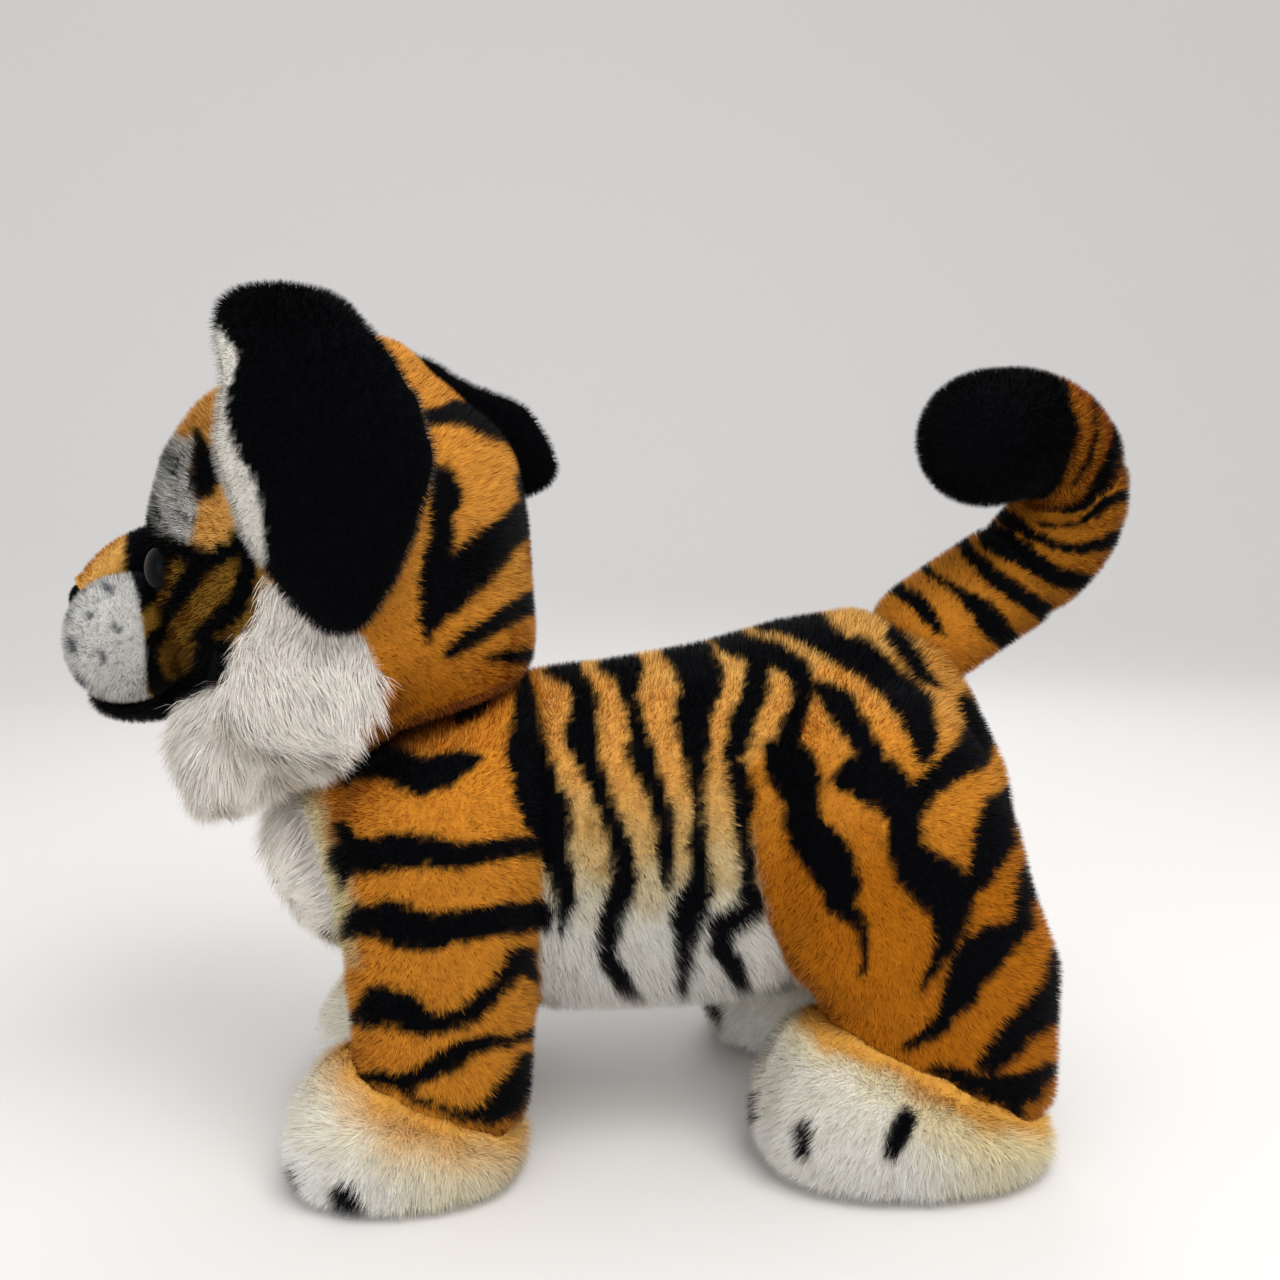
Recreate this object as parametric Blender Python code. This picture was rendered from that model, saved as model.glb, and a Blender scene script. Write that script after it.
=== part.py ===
"""A standing plush tiger, about half a metre from its nose to the curl of its tail.

The frame: metres, +Z up, nose towards -X, tail towards +X, the tiger's left side towards -Y.
The origin is on the floor, below the middle of the whole toy.

Each stuffed part is a cloth cover (an outer form less an inner one), its stuffing, and what it holds.
Where two parts meet, the larger one keeps its form and the smaller one is cut by it, a gap apart.
"""

import math

import bmesh
import bpy
from mathutils import Matrix, Vector

for old in list(bpy.data.objects):
    bpy.data.objects.remove(old, do_unlink=True)

# Clearances and walls
GAP = 0.0003
COVER_WALL = 0.005
OVERRUN = 0.012
WELD = 0.000003
SOLE_THICKNESS = 0.003

# Trunk
TRUNK_LENGTH = 0.338
TRUNK_WIDTH = 0.156
TRUNK_DEPTH = 0.190
TRUNK_CHEST_X = -0.1455
TRUNK_AXIS_Z = 0.145
BELLY_PANEL_X = 0.009
BELLY_PANEL_LENGTH = 0.104
BELLY_PANEL_WIDTH = 0.118
BELLY_PANEL_TOP = 0.100
BIB_WIDTH = 0.086
BIB_HEIGHT = 0.084
BIB_Z = 0.122
BIB_BACK_X = -0.085

# Neck joint
NECK_X = -0.0905
NECK_Z = 0.190
NECK_TILT_DEG = 22.0
NECK_DISC_RADIUS = 0.027
NECK_DISC_THICKNESS = 0.003
NECK_POST_RADIUS = 0.0045
NECK_WASHER_RADIUS = 0.024
NECK_WASHER_THICKNESS = 0.0025
NECK_NUT_RADIUS = 0.010
NECK_NUT_THICKNESS = 0.004

# Head
HEAD_LENGTH = 0.170
HEAD_WIDTH = 0.186
HEAD_HEIGHT = 0.214
HEAD_X = -0.1205
HEAD_BASE_Z = 0.150

# Face
MUZZLE_X = -0.2165
MUZZLE_Y = 0.026
MUZZLE_Z = 0.231
MUZZLE_LENGTH = 0.056
MUZZLE_WIDTH = 0.058
MUZZLE_HEIGHT = 0.064
BRIDGE_X = -0.2155
BRIDGE_Z = 0.262
BRIDGE_LENGTH = 0.064
BRIDGE_WIDTH = 0.038
BRIDGE_HEIGHT = 0.026
BRIDGE_SLOPE_DEG = 38.0
NOSE_X = -0.2350
NOSE_Z = 0.2465
NOSE_LENGTH = 0.014
NOSE_WIDTH = 0.024
NOSE_HEIGHT = 0.017
CHIN_X = -0.2110
CHIN_Z = 0.203
CHIN_LENGTH = 0.050
CHIN_WIDTH = 0.050
CHIN_HEIGHT = 0.026
EYE_Z = 0.262
EYE_TURN_DEG = 31.0
EYE_RADIUS = 0.0115
EYE_HEIGHT = 0.0075
EYE_SUNK = 0.0035
EYE_STEM_RADIUS = 0.002
EYE_STEM_LENGTH = 0.0115
EYE_WASHER_RADIUS = 0.007
EYE_WASHER_THICKNESS = 0.002

# Ruffs of long pile
CHEEK_X = -0.1275
CHEEK_Y = 0.080
CHEEK_Z = 0.216
CHEEK_LENGTH = 0.082
CHEEK_WIDTH = 0.034
CHEEK_HEIGHT = 0.066
THROAT_X = -0.1640
THROAT_Z = 0.186
THROAT_LENGTH = 0.086
THROAT_WIDTH = 0.136
THROAT_HEIGHT = 0.078

# Ears
EAR_LENGTH = 0.150
EAR_WIDTH = 0.074
EAR_THICKNESS = 0.014
EAR_LAYER_GAP = 0.0007
EAR_ROOT_X = -0.1245
EAR_ROOT_Y = 0.0540
EAR_ROOT_Z = 0.3445
EAR_LEFT_SWING_DEG = 8.0
EAR_RIGHT_SWING_DEG = 58.0
EAR_LIFT_DEG = 60.0

# Front legs
FRONT_LEG_X = -0.0775
FRONT_LEG_Y = 0.053
FRONT_LEG_TOP = 0.195
FRONT_LEG_LENGTH = 0.084
FRONT_LEG_WIDTH = 0.074
FRONT_ANKLE_Z = 0.038
FRONT_PAW_X = -0.093
FRONT_PAW_Y = 0.053
FRONT_PAW_LENGTH = 0.107
FRONT_PAW_WIDTH = 0.088
FRONT_PAW_HEIGHT = 0.062

# Rear legs
REAR_LEG_X = 0.114
REAR_LEG_Y = 0.063
REAR_LEG_TOP = 0.214
REAR_LEG_LENGTH = 0.118
REAR_LEG_WIDTH = 0.076
REAR_ANKLE_X = 0.143
REAR_ANKLE_Z = 0.042
REAR_PAW_X = 0.125
REAR_PAW_Y = 0.066
REAR_PAW_LENGTH = 0.137
REAR_PAW_WIDTH = 0.095
REAR_PAW_HEIGHT = 0.072
ANKLE_TILT_DEG = 22.4

# Tail
TAIL_ROOT_X = 0.1525
TAIL_ROOT_Z = 0.226
TAIL_SPAN = 0.100
TAIL_RADIUS = 0.0255
TAIL_TIP_RADIUS = 0.0285
TAIL_WIRE_RADIUS = 0.0015
TAIL_SOCKET_DEG = 20.0
TAIL_TIP_WIRE_SHARE = 0.5

# Facets: how many sides a ring has and how many rings a form has
BODY_SIDES = 22
CORE_SIDES = 14
LIMB_SIDES = 16
INNER_SIDES = 10
FACE_SIDES = 14
SMALL_SIDES = 12
ROUND_SIDES = 18
WIRE_SIDES = 8
TRUNK_RINGS = 13
TRUNK_CORE_RINGS = 9
HEAD_RINGS = 12
LEG_RINGS = 9
LEG_CORE_RINGS = 6
PAW_RINGS = 6
PAW_CORE_RINGS = 5
FACE_RINGS = 8
PUFF_RINGS = 10
EAR_RINGS = 11
EAR_SIDES = 9
TAIL_RINGS = 5
WIRE_RINGS = 4
QUARTER_STEPS = 4
SHARP_EDGE_DEG = 40.0

# How square a section is and how blunt a form's end is: 2 is round, and more is fuller
ROUND = 2.0
FORM_SQUARENESS = 2.2
PANEL_SQUARENESS = 3.0
TRUNK_BLUNTNESS = 3.0
HEAD_BLUNTNESS = 2.2
LEG_BLUNTNESS = 2.6
LEG_DOME_SHARE = 0.222
PAW_BLUNTNESS = 2.3
PAW_DOME_SHARE = 0.75

# The two sides, as they count along +Y, and how far each ear swings to the back
EAR_SWINGS_DEG = {-1: EAR_LEFT_SWING_DEG, 1: EAR_RIGHT_SWING_DEG}

SIDE = Vector((0, 1, 0))
FORWARD = Vector((-1, 0, 0))
BACKWARD = Vector((1, 0, 0))
UP = Vector((0, 0, 1))

# Each row: along the form, then what that form's own function reads, as shares of its named sizes
TRUNK_SHARES = (
    (0.00, -0.079, 0.347, 0.372),
    (0.10, -0.032, 0.428, 0.397),
    (0.20, -0.032, 0.451, 0.470),
    (0.28, -0.045, 0.436, 0.472),
    (0.34, -0.058, 0.420, 0.473),
    (0.40, -0.055, 0.425, 0.474),
    (0.55, -0.037, 0.442, 0.481),
    (0.70, 0.011, 0.479, 0.500),
    (0.80, 0.042, 0.496, 0.506),
    (0.90, 0.066, 0.468, 0.487),
    (1.00, 0.068, 0.395, 0.449),
)
HEAD_SHARES = (
    (0.00, -0.176, 0.312, 0.285),
    (0.19, -0.112, 0.376, 0.345),
    (0.28, -0.041, 0.453, 0.420),
    (0.36, -0.028, 0.484, 0.462),
    (0.52, 0.000, 0.500, 0.495),
    (0.70, 0.000, 0.509, 0.505),
    (0.84, -0.012, 0.500, 0.500),
    (0.93, -0.029, 0.453, 0.473),
    (1.00, -0.065, 0.412, 0.450),
)
FRONT_LEG_SHARES = (
    (0.00, 0.000, 0.440, 0.420, 0.10),
    (0.25, 0.000, 0.500, 0.500, 0.00),
    (0.50, 0.000, 0.510, 0.490, 0.00),
    (0.75, 0.000, 0.470, 0.470, 0.00),
    (1.00, 0.000, 0.440, 0.440, 0.00),
)
REAR_LEG_SHARES = (
    (0.00, 0.000, 0.420, 0.420, 0.08),
    (0.24, 0.000, 0.470, 0.500, 0.02),
    (0.41, 0.059, 0.487, 0.500, 0.00),
    (0.60, 0.148, 0.500, 0.490, -0.02),
    (0.73, 0.246, 0.436, 0.460, -0.03),
    (0.84, 0.350, 0.314, 0.430, -0.04),
    (1.00, 0.420, 0.290, 0.420, -0.04),
)
FRONT_PAW_SHARES = (
    (0.00, 0.000, 0.430, 0.440),
    (0.15, 0.000, 0.490, 0.490),
    (0.40, 0.000, 0.500, 0.500),
    (0.70, 0.000, 0.470, 0.480),
    (1.00, 0.020, 0.440, 0.460),
)
REAR_PAW_SHARES = (
    (0.00, 0.000, 0.445, 0.420),
    (0.20, 0.000, 0.500, 0.500),
    (0.45, 0.020, 0.490, 0.490),
    (0.72, 0.080, 0.440, 0.460),
    (1.00, 0.160, 0.400, 0.440),
)
# Along the ear: outwards and upwards from its root, then its half width and half thickness
EAR_SHARES = (
    (0.00, 0.000, 0.000, 0.26, 0.16),
    (0.12, 0.080, 0.095, 0.38, 0.36),
    (0.26, 0.185, 0.115, 0.43, 0.48),
    (0.42, 0.275, -0.020, 0.47, 0.50),
    (0.58, 0.305, -0.220, 0.50, 0.50),
    (0.76, 0.310, -0.430, 0.42, 0.50),
    (0.90, 0.305, -0.590, 0.27, 0.46),
    (1.00, 0.300, -0.690, 0.10, 0.30),
)
# The tail's centre line, from its root, as shares of its span
TAIL_SHARES = (
    (0.000, 0.000, 0.000),
    (0.267, 0.000, 0.180),
    (0.534, 0.000, 0.360),
    (0.672, -0.050, 0.580),
    (0.600, -0.150, 0.831),
    (0.366, -0.290, 0.945),
    (0.095, -0.460, 0.910),
)
TAIL_BEND_KNOT = 2
TAIL_TIP_KNOT = 4
TAIL_LAST_KNOT = len(TAIL_SHARES) - 1
# The share of a facet by which the wire's facets are turned against those of the tail around it
WIRE_TURN_SHARE = 0.3
# How far to each side of a place on a curve its direction is measured
STEP_SHARE = 0.02
# The share of an ear's length in which it swings to its own direction
EAR_SWING_SHARE = 0.8
# Points across the flat side of an ear's layer, as shares of its half width
EAR_FLAT_SHARES = (0.6, 0.2, -0.2, -0.6)
# How far an ear is lifted, as shares of its whole lift, where the head makes room for it
EAR_LIFT_SHARES = (0.75, 1.0)


def colour(name, red, green, blue, roughness):
    """A material with the part's own colour and gloss."""
    made = bpy.data.materials.new(name)
    made.use_nodes = True
    shader = made.node_tree.nodes["Principled BSDF"]
    shader.inputs["Base Color"].default_value = (red, green, blue, 1)
    shader.inputs["Roughness"].default_value = roughness
    made.diffuse_color = (red, green, blue, 1)
    return made


ORANGE_PILE = (0.68, 0.27, 0.04, 0.9)
BLACK_PILE = (0.012, 0.012, 0.016, 0.9)
WHITE_PILE = (0.80, 0.77, 0.71, 0.9)
CREAM_PILE = (0.78, 0.68, 0.50, 0.9)
WHITE_FIBRE = (0.85, 0.85, 0.85, 1.0)
CLEAR_PLASTIC = (0.70, 0.70, 0.68, 0.4)
BLACK_GLOSS = (0.01, 0.01, 0.012, 0.08)
STEEL_WIRE = (0.45, 0.45, 0.45, 0.35)


def smooth_rows(rows, along):
    """The columns of a table of shares at one place along it, on smooth curves through its rows."""
    along = min(max(along, rows[0][0]), rows[-1][0])
    last = len(rows) - 1
    k = 0
    while k < last - 1 and along > rows[k + 1][0]:
        k += 1
    before, low, high, after = rows[max(k - 1, 0)], rows[k], rows[k + 1], rows[min(k + 2, last)]
    width = high[0] - low[0]
    t = (along - low[0]) / width
    values = []
    for column in range(1, len(low)):
        slope_low = (high[column] - before[column]) / (high[0] - before[0]) * width
        slope_high = (after[column] - low[column]) / (after[0] - low[0]) * width
        values.append(
            low[column] * (2 * t**3 - 3 * t**2 + 1)
            + slope_low * (t**3 - 2 * t**2 + t)
            + high[column] * (3 * t**2 - 2 * t**3)
            + slope_high * (t**3 - t**2)
        )
    return values


def rounded_end(along, bluntness):
    """How much of its girth a form keeps at a place that runs from 0, full, to 1, its closed end."""
    along = min(max(along, 0.0), 1.0)
    return (1 - along**bluntness) ** (1 / bluntness)


def section(centre, across, upright, half_across, half_upright, sides, squareness=FORM_SQUARENESS, turn=0.0):
    """The points of a rounded outline, a superellipse in the plane of two directions."""
    points = []
    for k in range(sides):
        angle = 2 * math.pi * (k + turn) / sides
        c = math.cos(angle)
        s = math.sin(angle)
        a = math.copysign(abs(c) ** (2 / squareness), c)
        b = math.copysign(abs(s) ** (2 / squareness), s)
        points.append(centre + across * (half_across * a) + upright * (half_upright * b))
    return points


def new_object(name, bm):
    """Puts a mesh in an object, its faces triangles that look outwards."""
    bmesh.ops.remove_doubles(bm, verts=bm.verts, dist=WELD)
    bmesh.ops.recalc_face_normals(bm, faces=bm.faces)
    bmesh.ops.triangulate(bm, faces=bm.faces[:], quad_method="FIXED")
    mesh = bpy.data.meshes.new(name)
    bm.to_mesh(mesh)
    bm.free()
    made = bpy.data.objects.new(name, mesh)
    bpy.context.scene.collection.objects.link(made)
    return made


def finish(piece, look, pivot=None):
    """Gives a finished piece its material, its smooth shading and, if it moves, an origin on its joint."""
    piece.data.materials.clear()
    piece.data.materials.append(colour(piece.name, *look))
    piece.data.shade_smooth()
    piece.data.set_sharp_from_angle(angle=math.radians(SHARP_EDGE_DEG))
    if pivot:
        piece.data.transform(Matrix.Translation(-pivot))
        piece.location = pivot


def loft(name, rings, start=None, end=None):
    """A closed skin through rings of points, drawn to a pole at each end that has one."""
    bm = bmesh.new()
    loops = [[bm.verts.new(point) for point in ring] for ring in rings]
    for near, far in zip(loops, loops[1:]):
        for k in range(len(near)):
            bm.faces.new((near[k - 1], near[k], far[k], far[k - 1]))
    for loop, pole in ((loops[0], start), (loops[-1], end)):
        cap = bm.faces.new(loop)
        if pole:
            for vert in bmesh.ops.poke(bm, faces=[cap])["verts"]:
                vert.co = pole
    return new_object(name, bm)


def rings_along(count, low, high):
    """Places between two ends, closer together near the ends."""
    return [low + (high - low) * (1 - math.cos(math.pi * k / count)) / 2 for k in range(1, count)]


def swollen(name, place, length, count, sides, grow=0.0):
    """A form that swells and tapers between two closed ends.

    place(along) gives a ring's centre, its two directions and its two half sizes. A positive grow makes
    a cutter that much larger, and a negative one an inner form that much smaller.
    """
    inset = max(-grow, 0.0) / length
    rings = []
    for along in rings_along(count, inset, 1 - inset):
        centre, across, upright, half_across, half_upright = place(along)
        half_across = max(half_across + grow, GAP)
        half_upright = max(half_upright + grow, GAP)
        rings.append(section(centre, across, upright, half_across, half_upright, sides))
    start, across, upright = place(inset)[:3]
    end = place(1 - inset)[0]
    lengthwise = (place(1.0)[0] - place(0.0)[0]).normalized()
    outwards = lengthwise * max(grow, 0.0)
    return loft(name, rings, start - outwards, end + outwards)


def copy_of(piece, name):
    made = piece.copy()
    made.data = piece.data.copy()
    made.name = name
    bpy.context.scene.collection.objects.link(made)
    return made


def remove(*pieces):
    for piece in pieces:
        bpy.data.objects.remove(piece, do_unlink=True)


def combine(piece, other, operation, keep=False):
    """A Boolean of two closed solids, applied. The second one goes unless it is kept."""
    modifier = piece.modifiers.new("combine", "BOOLEAN")
    modifier.operation = operation
    modifier.solver = "EXACT"
    modifier.object = other
    bpy.context.view_layer.update()
    result = bpy.data.meshes.new_from_object(piece.evaluated_get(bpy.context.evaluated_depsgraph_get()))
    piece.modifiers.clear()
    piece.data = result
    if not keep:
        remove(other)
    return piece


def cut(piece, cutter, keep=False):
    return combine(piece, cutter, "DIFFERENCE", keep)


def join(piece, other, keep=False):
    return combine(piece, other, "UNION", keep)


def common(piece, other, keep=False):
    return combine(piece, other, "INTERSECT", keep)


def largest_body(piece):
    """Keeps the largest of the separate bodies that a cut leaves."""
    bm = bmesh.new()
    bm.from_mesh(piece.data)
    left = set(bm.verts)
    bodies = []
    while left:
        body = set()
        edge_of = [left.pop()]
        while edge_of:
            vert = edge_of.pop()
            body.add(vert)
            for edge in vert.link_edges:
                other = edge.other_vert(vert)
                if other in left:
                    left.remove(other)
                    edge_of.append(other)
        bodies.append(body)
    bodies.sort(key=len)
    for body in bodies[:-1]:
        bmesh.ops.delete(bm, geom=list(body), context="VERTS")
    bm.to_mesh(piece.data)
    bm.free()
    return piece


def trim(piece, point, normal):
    """Cuts off what lies beyond a plane, and closes the cut."""
    bm = bmesh.new()
    bm.from_mesh(piece.data)
    everything = bm.verts[:] + bm.edges[:] + bm.faces[:]
    bmesh.ops.bisect_plane(bm, geom=everything, plane_co=point, plane_no=normal, clear_outer=True)
    rim = [edge for edge in bm.edges if edge.is_boundary]
    if rim:
        bmesh.ops.holes_fill(bm, edges=rim, sides=0)
    bmesh.ops.triangulate(bm, faces=bm.faces[:], quad_method="FIXED")
    bmesh.ops.recalc_face_normals(bm, faces=bm.faces)
    bm.to_mesh(piece.data)
    bm.free()
    return piece


def turned(name, profile, centre, axis, sides=ROUND_SIDES):
    """A solid spun on an axis from an outline of (along, radius) pairs, which is closed on the axis."""
    across = axis.orthogonal().normalized()
    outline = [(profile[0][0], 0.0), *profile, (profile[-1][0], 0.0)]
    bm = bmesh.new()
    verts = [bm.verts.new(centre + axis * along + across * radius) for along, radius in outline]
    edges = [bm.edges.new(pair) for pair in zip(verts, verts[1:])]
    bmesh.ops.spin(
        bm, geom=verts + edges, cent=centre, axis=axis, angle=2 * math.pi, steps=sides, use_merge=True
    )
    return new_object(name, bm)


def rod(name, radius, low, high, centre, axis, sides=ROUND_SIDES):
    return turned(name, ((low, radius), (high, radius)), centre, axis, sides)


def egg(name, centre, length, width, height, turn=None, grow=0.0, sides=FACE_SIDES, rings=FACE_RINGS):
    """A rounded body of three sizes, from a sphere."""
    bm = bmesh.new()
    bmesh.ops.create_uvsphere(bm, u_segments=sides, v_segments=rings, radius=1)
    half_sizes = Vector((length / 2 + grow, width / 2 + grow, height / 2 + grow))
    bmesh.ops.scale(bm, vec=half_sizes, verts=bm.verts)
    if turn:
        bmesh.ops.transform(bm, matrix=turn, verts=bm.verts)
    bmesh.ops.translate(bm, vec=centre, verts=bm.verts)
    return new_object(name, bm)


def prism(name, outline, travel):
    """An outline of points drawn along a straight line."""
    bm = bmesh.new()
    face = bm.faces.new([bm.verts.new(point) for point in outline])
    drawn = bmesh.ops.extrude_face_region(bm, geom=[face])["geom"]
    moved = [item for item in drawn if isinstance(item, bmesh.types.BMVert)]
    bmesh.ops.translate(bm, vec=travel, verts=moved)
    return new_object(name, bm)


# Trunk
def trunk_place(along):
    rise, half_depth, half_width = smooth_rows(TRUNK_SHARES, along)
    kept = rounded_end(abs(2 * along - 1), TRUNK_BLUNTNESS)
    centre = Vector((TRUNK_CHEST_X + TRUNK_LENGTH * along, 0, TRUNK_AXIS_Z + TRUNK_DEPTH * rise))
    return centre, SIDE, UP, TRUNK_WIDTH * half_width * kept, TRUNK_DEPTH * half_depth * kept


def trunk_form(name, grow=0.0, sides=BODY_SIDES, count=TRUNK_RINGS):
    return swollen(name, trunk_place, TRUNK_LENGTH, count, sides, grow)


neck_tilt = math.radians(NECK_TILT_DEG)
neck_centre = Vector((NECK_X, 0, NECK_Z))
neck_axis = Vector((-math.sin(neck_tilt), 0, math.cos(neck_tilt)))
trunk_seat = neck_centre - neck_axis * (GAP / 2)
head_seat = neck_centre + neck_axis * (GAP / 2)


# Tail: its centre line, and the sockets in which its three lengths turn
def tail_point(knot):
    """A point on the tail's centre line. Whole numbers are the rows of its table."""
    rows = [(k, *row) for k, row in enumerate(TAIL_SHARES)]
    x, y, z = smooth_rows(rows, knot)
    return Vector((TAIL_ROOT_X + TAIL_SPAN * x, TAIL_SPAN * y, TAIL_ROOT_Z + TAIL_SPAN * z))


def tail_direction(knot):
    ahead = tail_point(min(knot + STEP_SHARE, TAIL_LAST_KNOT))
    behind = tail_point(max(knot - STEP_SHARE, 0))
    return (ahead - behind).normalized()


def tail_girth(knot):
    """The tail is a little thicker towards its tip."""
    late = max(knot - TAIL_TIP_KNOT, 0) / (TAIL_LAST_KNOT - TAIL_TIP_KNOT)
    return TAIL_RADIUS + (TAIL_TIP_RADIUS - TAIL_RADIUS) * late


def tail_ring(knot, radius, sides, ahead=0.0, turn=0.0):
    """A ring across the centre line, or a way ahead of it on the line's direction."""
    direction = tail_direction(knot)
    across = direction.cross(SIDE).normalized()
    centre = tail_point(knot) + direction * ahead
    return section(centre, across, direction.cross(across), radius, radius, sides, ROUND, turn)


def tail_length(name, first, last, sides, grow=0.0, tip=False):
    """One length of the tail: a ball at its first knot, a tube, and an open or a rounded end."""
    leans = [math.radians(90) * k / QUARTER_STEPS for k in range(1, QUARTER_STEPS)]
    ball = tail_girth(first) + grow
    rings = [tail_ring(first, ball * math.sin(lean), sides, -ball * math.cos(lean)) for lean in leans]
    for k in range(TAIL_RINGS + 1):
        knot = first + (last - first) * k / TAIL_RINGS
        rings.append(tail_ring(knot, tail_girth(knot) + grow, sides))
    end = None
    if tip:
        cap = tail_girth(last) + grow
        rings += [tail_ring(last, cap * math.cos(lean), sides, cap * math.sin(lean)) for lean in leans]
        end = tail_point(last) + tail_direction(last) * cap
    return loft(name, rings, tail_point(first) - tail_direction(first) * ball, end)


socket_flare = math.radians(TAIL_SOCKET_DEG)


def socket_radius(knot, step):
    """A socket's facets clear the ball inside them, so its corners lie a little further out."""
    return (tail_girth(knot) + GAP) / math.cos(math.pi / LIMB_SIDES) / math.cos(step / 2)


def tail_socket(name, knot):
    """What a length of tail needs free around its first ball, at every angle that it bends to."""
    turn = math.radians(90) - socket_flare
    radius = socket_radius(knot, turn / TAIL_RINGS)
    profile = []
    for k in range(TAIL_RINGS + 1):
        lean = turn * k / TAIL_RINGS
        profile.append((-radius * math.cos(lean), radius * math.sin(lean)))
    reach = 2 * radius
    profile.append((reach, radius / math.cos(socket_flare) + reach * math.tan(socket_flare)))
    return turned(name, profile, tail_point(knot), tail_direction(knot), LIMB_SIDES)


# Head
def head_place(along):
    ahead, half_length, half_width = smooth_rows(HEAD_SHARES, along)
    kept = rounded_end(2 * along - 1, HEAD_BLUNTNESS)
    centre = Vector((HEAD_X - HEAD_LENGTH * ahead, 0, HEAD_BASE_Z + HEAD_HEIGHT * along))
    return centre, FORWARD, SIDE, HEAD_LENGTH * half_length * kept, HEAD_WIDTH * half_width * kept


def head_form(name, grow=0.0, sides=BODY_SIDES):
    made = swollen(name, head_place, HEAD_HEIGHT, HEAD_RINGS, sides, grow)
    return trim(made, head_seat - neck_axis * min(grow, 0.0), -neck_axis)


# Legs
def leg_place(along, rows, x, y, top, length, width):
    back, half_length, half_width, inwards = smooth_rows(rows, along)
    kept = rounded_end(1 - along / LEG_DOME_SHARE, LEG_BLUNTNESS)
    centre = Vector((x + length * back, y - width * inwards, top * (1 - along)))
    return centre, FORWARD, SIDE, length * half_length * kept, width * half_width * kept


def front_leg_place(along):
    return leg_place(
        along, FRONT_LEG_SHARES, FRONT_LEG_X, FRONT_LEG_Y, FRONT_LEG_TOP, FRONT_LEG_LENGTH, FRONT_LEG_WIDTH
    )


def rear_leg_place(along):
    return leg_place(
        along, REAR_LEG_SHARES, REAR_LEG_X, REAR_LEG_Y, REAR_LEG_TOP, REAR_LEG_LENGTH, REAR_LEG_WIDTH
    )


def paw_place(along, rows, x, y, height, length, width):
    ahead, half_length, half_width = smooth_rows(rows, along)
    kept = rounded_end(1 - (1 - along) / PAW_DOME_SHARE, PAW_BLUNTNESS)
    centre = Vector((x - length * ahead, y, height * along))
    return centre, FORWARD, SIDE, length * half_length * kept, width * half_width * kept


def front_paw_place(along):
    return paw_place(
        along, FRONT_PAW_SHARES, FRONT_PAW_X, FRONT_PAW_Y, FRONT_PAW_HEIGHT, FRONT_PAW_LENGTH, FRONT_PAW_WIDTH
    )


def rear_paw_place(along):
    return paw_place(
        along, REAR_PAW_SHARES, REAR_PAW_X, REAR_PAW_Y, REAR_PAW_HEIGHT, REAR_PAW_LENGTH, REAR_PAW_WIDTH
    )


def paw_form(name, place, height, base, grow=0.0, sides=LIMB_SIDES, count=PAW_RINGS):
    """A paw from its flat base up to its domed top."""
    low = base / height
    high = 1 + min(grow, 0.0) / height
    shares = [low] + rings_along(count, low, high)
    rings = []
    for along in shares:
        centre, across, upright, half_across, half_upright = place(along)
        half_across = max(half_across + grow, GAP)
        half_upright = max(half_upright + grow, GAP)
        rings.append(section(centre, across, upright, half_across, half_upright, sides))
    return loft(name, rings, None, place(high)[0])


ankle_tilt = math.radians(ANKLE_TILT_DEG)
ankle_normal = Vector((math.sin(ankle_tilt), 0, math.cos(ankle_tilt)))


def build_leg(name, leg_at, paw_at, leg_top, paw_height, ankle):
    """A leg on the right side: its sleeve, stuffing, paw and sole."""

    def leg_form(form_name, grow, sides, count):
        return swollen(form_name, leg_at, leg_top, count, sides, grow)

    sleeve = trim(leg_form(f"{name}_sleeve", 0.0, LIMB_SIDES, LEG_RINGS), ankle, -ankle_normal)
    outside = leg_form("leg_outside", GAP, LIMB_SIDES, LEG_RINGS)
    trim(outside, ankle - ankle_normal * GAP, -ankle_normal)
    cut(sleeve, leg_form("leg_hollow", -COVER_WALL, INNER_SIDES, LEG_CORE_RINGS))
    fill = leg_form(f"{name}_filling", -COVER_WALL - GAP, INNER_SIDES, LEG_CORE_RINGS)
    trim(fill, ankle, -ankle_normal)
    core = leg_form("leg_core", -COVER_WALL - 2 * GAP, INNER_SIDES, LEG_CORE_RINGS)

    sole_top = SOLE_THICKNESS + GAP
    hollow_base = sole_top + COVER_WALL
    paw = paw_form(f"{name}_paw", paw_at, paw_height, sole_top)
    cut(paw, paw_form("hollow", paw_at, paw_height, hollow_base, -COVER_WALL, INNER_SIDES, PAW_CORE_RINGS))
    cut(paw, outside, keep=True)
    inner = -COVER_WALL - GAP
    paw_fill = paw_form("paw_fill", paw_at, paw_height, hollow_base + GAP, inner, INNER_SIDES, PAW_CORE_RINGS)
    cut(paw_fill, cut(outside, core))
    join(fill, largest_body(paw_fill))

    sole = paw_form(f"{name}_sole", paw_at, paw_height, 0.0)
    trim(sole, UP * SOLE_THICKNESS, UP)
    return sleeve, fill, largest_body(paw), sole


def mirrored(piece, name):
    """The same piece on the other side of the toy's middle plane."""
    made = copy_of(piece, name)
    bm = bmesh.new()
    bm.from_mesh(made.data)
    bmesh.ops.scale(bm, vec=Vector((1, -1, 1)), verts=bm.verts)
    bmesh.ops.reverse_faces(bm, faces=bm.faces)
    bm.to_mesh(made.data)
    bm.free()
    return made


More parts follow.
